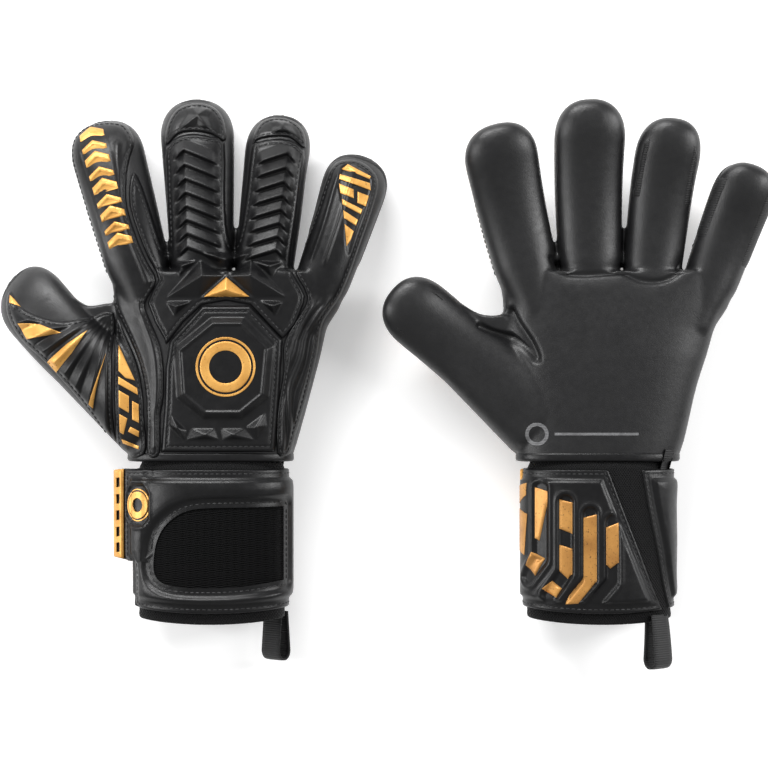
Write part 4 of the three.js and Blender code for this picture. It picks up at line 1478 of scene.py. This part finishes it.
def sleeve():
    """The knit sleeve's points and quads, from its section: a height and an offset."""
    around = np.linspace(0, ROUND, SLEEVE_COUNT + 1)[:-1]
    straight = [(y, 0.3) for y in np.arange(-12, -77, -8)]
    profile = SLEEVE_OUTSIDE + straight + SLEEVE_HEM + SLEEVE_INSIDE
    return ring_solid([on_cuff(around, np.full(SLEEVE_COUNT, float(y)), offset) for y, offset in profile])


points, quads = sleeve()
WRIST_BEND = ("cuff", (6.5, 7.5, 0), (6.5, 0.5, 0))
quads, normals = turned_out(points, quads, wrist_line(points), slice(0, SLEEVE_COUNT * 6))
add_piece("knit_sleeve", points, quads, KNIT, "hand", WRIST_BEND, normals, ("bandage_sleeve",))

HEM_COUNT = 160
HEM_PROFILE = [(4.2, -2.2), (3.8, -0.8), (4.1, 0.3), (5.2, 0.75), (7.6, 0.6), (8.6, 0.1), (8.8, -0.8),
               (7, -2.4)]


def hem():
    """The turned hem round the hand's open end."""
    angle = 2 * np.pi * np.arange(HEM_COUNT) / HEM_COUNT
    out = np.column_stack([np.cos(angle), np.zeros(HEM_COUNT), np.sin(angle) * 0.75])
    out /= np.linalg.norm(out, axis=1)[:, None]
    centre = np.array([(SLEEVE_CENTRE_X, 7.0, 0)] * HEM_COUNT)
    spots, normals = (evened(values, 6, closed=True) for values in outward_hits(centre, out, 70))
    facing = normals * (1, 0, 1)
    facing /= np.linalg.norm(facing, axis=1)[:, None]
    rows = []
    for y, offset in HEM_PROFILE:
        rows.append(np.column_stack([spots[:, 0], np.full(HEM_COUNT, y), spots[:, 2]]) + facing * offset)
    return ring_solid(rows)


points, quads = hem()
quads, normals = turned_out(points, quads, wrist_line(points), slice(HEM_COUNT * 3, HEM_COUNT * 4))
add_piece("wrist_hem", points, quads, PANEL, "hand", None, normals)


# ---- pull loop and side ribbon
LOOP = dict(x={"right": 40.6, "left": 36.6}, z=-13.0, top=-78.0, bottom={"right": -104.2, "left": -106.6},
            width=14.0, gap=7.6, thick=1.3, turn=45.0)


LOOP_SECTION = [(-0.5, -0.35), (-0.46, 0.5), (-0.3, 0.5), (0, 0.46), (0.3, 0.5), (0.46, 0.5), (0.5, -0.35),
                (0.3, -0.5), (-0.3, -0.5)]


def ribbon_loop(side_name):
    """A ribbon down from the sleeve, round and up again: points and quads."""
    half = LOOP["gap"] / 2
    low = LOOP["bottom"][side_name]
    path = [(half * (0.55 + 0.45 * k / 9), LOOP["top"] + (low + 5 - LOOP["top"]) * k / 9) for k in range(10)]
    path += [(half * math.cos(a), low + 5 - 5 * math.sin(a)) for a in np.linspace(0.2, np.pi - 0.2, 12)]
    path += [(-p, y) for p, y in path[:10][::-1]]
    path = np.array(path)
    along = np.gradient(path, axis=0)
    along /= np.hypot(*along.T)[:, None]
    normal = np.column_stack([along[:, 1], -along[:, 0]])
    turn = math.radians(LOOP["turn"])
    width = np.array([math.cos(turn), 0, math.sin(turn)])
    gap = np.array([-math.sin(turn), 0, math.cos(turn)])
    rows = []
    for (p, y), (n1, n2) in zip(path, normal):
        centre = np.array([LOOP["x"][side_name], y, LOOP["z"]]) + gap * p
        out = gap * n1 + np.array([0, 1, 0]) * n2
        rows.append([centre + width * w * LOOP["width"] + out * t * LOOP["thick"] for w, t in LOOP_SECTION])
    count = len(LOOP_SECTION)
    points = np.vstack(rows)
    r, c = np.divmod(np.arange((len(rows) - 1) * count), count)
    a, b = r * count + c, r * count + (c + 1) % count
    return points, np.column_stack([a, b, b + count, a + count])


LOOP_BEND = ("pull_loop", (38, -79, -13), (38, -90, -13))
for side_name in SIDES:
    points, quads = ribbon_loop(side_name)
    count = len(LOOP_SECTION)
    middle = points.reshape(-1, count, 3).mean(axis=1).repeat(count, axis=0)
    quads, normals = turned_out(points, quads, middle)
    add_piece("pull_loop", points, quads, WEBBING, "cuff", LOOP_BEND, normals, ("pull_loop",),
              sides=(side_name,))


def palm_skin(points):
    """Height of the glove's palm side near the wrist, over points in the plane."""
    up = Vector((0, 0, 1))
    low = WRAP_NZ < 0
    order = np.argsort(WRAP_X[low])
    wrist = np.interp(points[:, 0], WRAP_X[low][order], WRAP_Z[low][order])
    hand = []
    for x, y in points:
        hit = BODY_TREE.ray_cast(Vector((x, max(y, 6.5), -60)), up)
        hand.append(hit[0].z if hit[0] is not None else -6.0)
    share = smooth(1.5, 6.5, points[:, 1])
    return wrist * (1 - share) + np.array(hand) * share


def add_under_plate(name, outline, thick, material, bend=None, stands_for=(), holes=(), step=0.8,
                    lift=0.0):
    """A thin closed plate on the palm side."""
    flat, faces, border = filled(outline, step, (), holes)
    skin = palm_skin(flat)
    outer = np.column_stack([flat, skin - thick - lift])
    inner = np.column_stack([flat, skin + 0.6])
    points, faces, normals = closed_plate(outer, inner, faces, border)
    add_piece(name, points, faces[:, ::-1], material, "hand", bend, -normals, stands_for)


PRINT_RING = (-28.4, 18.6)
add_under_plate("print_ring", circle(PRINT_RING, 6.2), 0.12, PRINT,
                holes=(circle(PRINT_RING, 4.3),))
add_under_plate("print_line", [(-19, 19.4), (26, 19.4), (26, 18.0), (-19, 18.0)], 0.12, PRINT)
add_under_plate("side_ribbon", [(41.4, 10.6), (46.4, 9.6), (43.2, -6), (37.6, -6)], 0.9, WEBBING,
                WRIST_BEND, ("side_ribbon",), lift=0.8)


# ------------------------------------------------------------------------------------------------ stage
def add_stage():
    mesh = bpy.data.meshes.new("floor")
    reach = 6.0
    mesh.from_pydata([(-reach, -reach, -0.0005), (reach, -reach, -0.0005), (reach, reach, -0.0005),
                      (-reach, reach, -0.0005)], [], [(0, 1, 2, 3)])
    floor = bpy.data.objects.new("floor", mesh)
    material, _, _, shader = new_material("floor_paint")
    shader.inputs["Base Color"].default_value = (0.92, 0.92, 0.92, 1)
    shader.inputs["Roughness"].default_value = 0.9
    shader.inputs["Emission Color"].default_value = (1, 1, 1, 1)
    shader.inputs["Emission Strength"].default_value = 0.3
    mesh.materials.append(material)
    bpy.context.scene.collection.objects.link(floor)


def add_light(name, place, target, size, power):
    data = bpy.data.lights.new(name, "AREA")
    data.shape = "RECTANGLE"
    data.size, data.size_y = size
    data.energy = power
    light = bpy.data.objects.new(name, data)
    light.location = place
    light.rotation_euler = (Vector(target) - Vector(place)).to_track_quat("-Z", "Y").to_euler()
    bpy.context.scene.collection.objects.link(light)


def add_camera():
    data = bpy.data.cameras.new("camera")
    data.lens = 135
    data.clip_end = 20
    camera = bpy.data.objects.new("camera", data)
    view_width = 0.4147
    middle = placed("right", [(99.4, 45.4, 0)])[0]
    camera.location = (middle[0], middle[1], middle[2] + view_width / (data.sensor_width / data.lens))
    bpy.context.scene.collection.objects.link(camera)
    bpy.context.scene.camera = camera


def add_world():
    bpy.context.scene.view_settings.view_transform = "Standard"
    world = bpy.data.worlds.new("studio")
    world.use_nodes = True
    world.node_tree.nodes["Background"].inputs["Color"].default_value = (1, 1, 1, 1)
    world.node_tree.nodes["Background"].inputs["Strength"].default_value = 0.42
    bpy.context.scene.world = world


add_stage()
add_world()
add_light("key", (-0.4, 1.1, 0.75), (0, 0.02, 0), (1.0, 0.35), 24)
add_light("fill", (1.1, 0.3, 0.65), (0, 0, 0), (0.3, 0.9), 13)
add_light("rim", (-1.1, 0.0, 0.65), (0, 0, 0), (0.3, 0.8), 9)
add_camera()
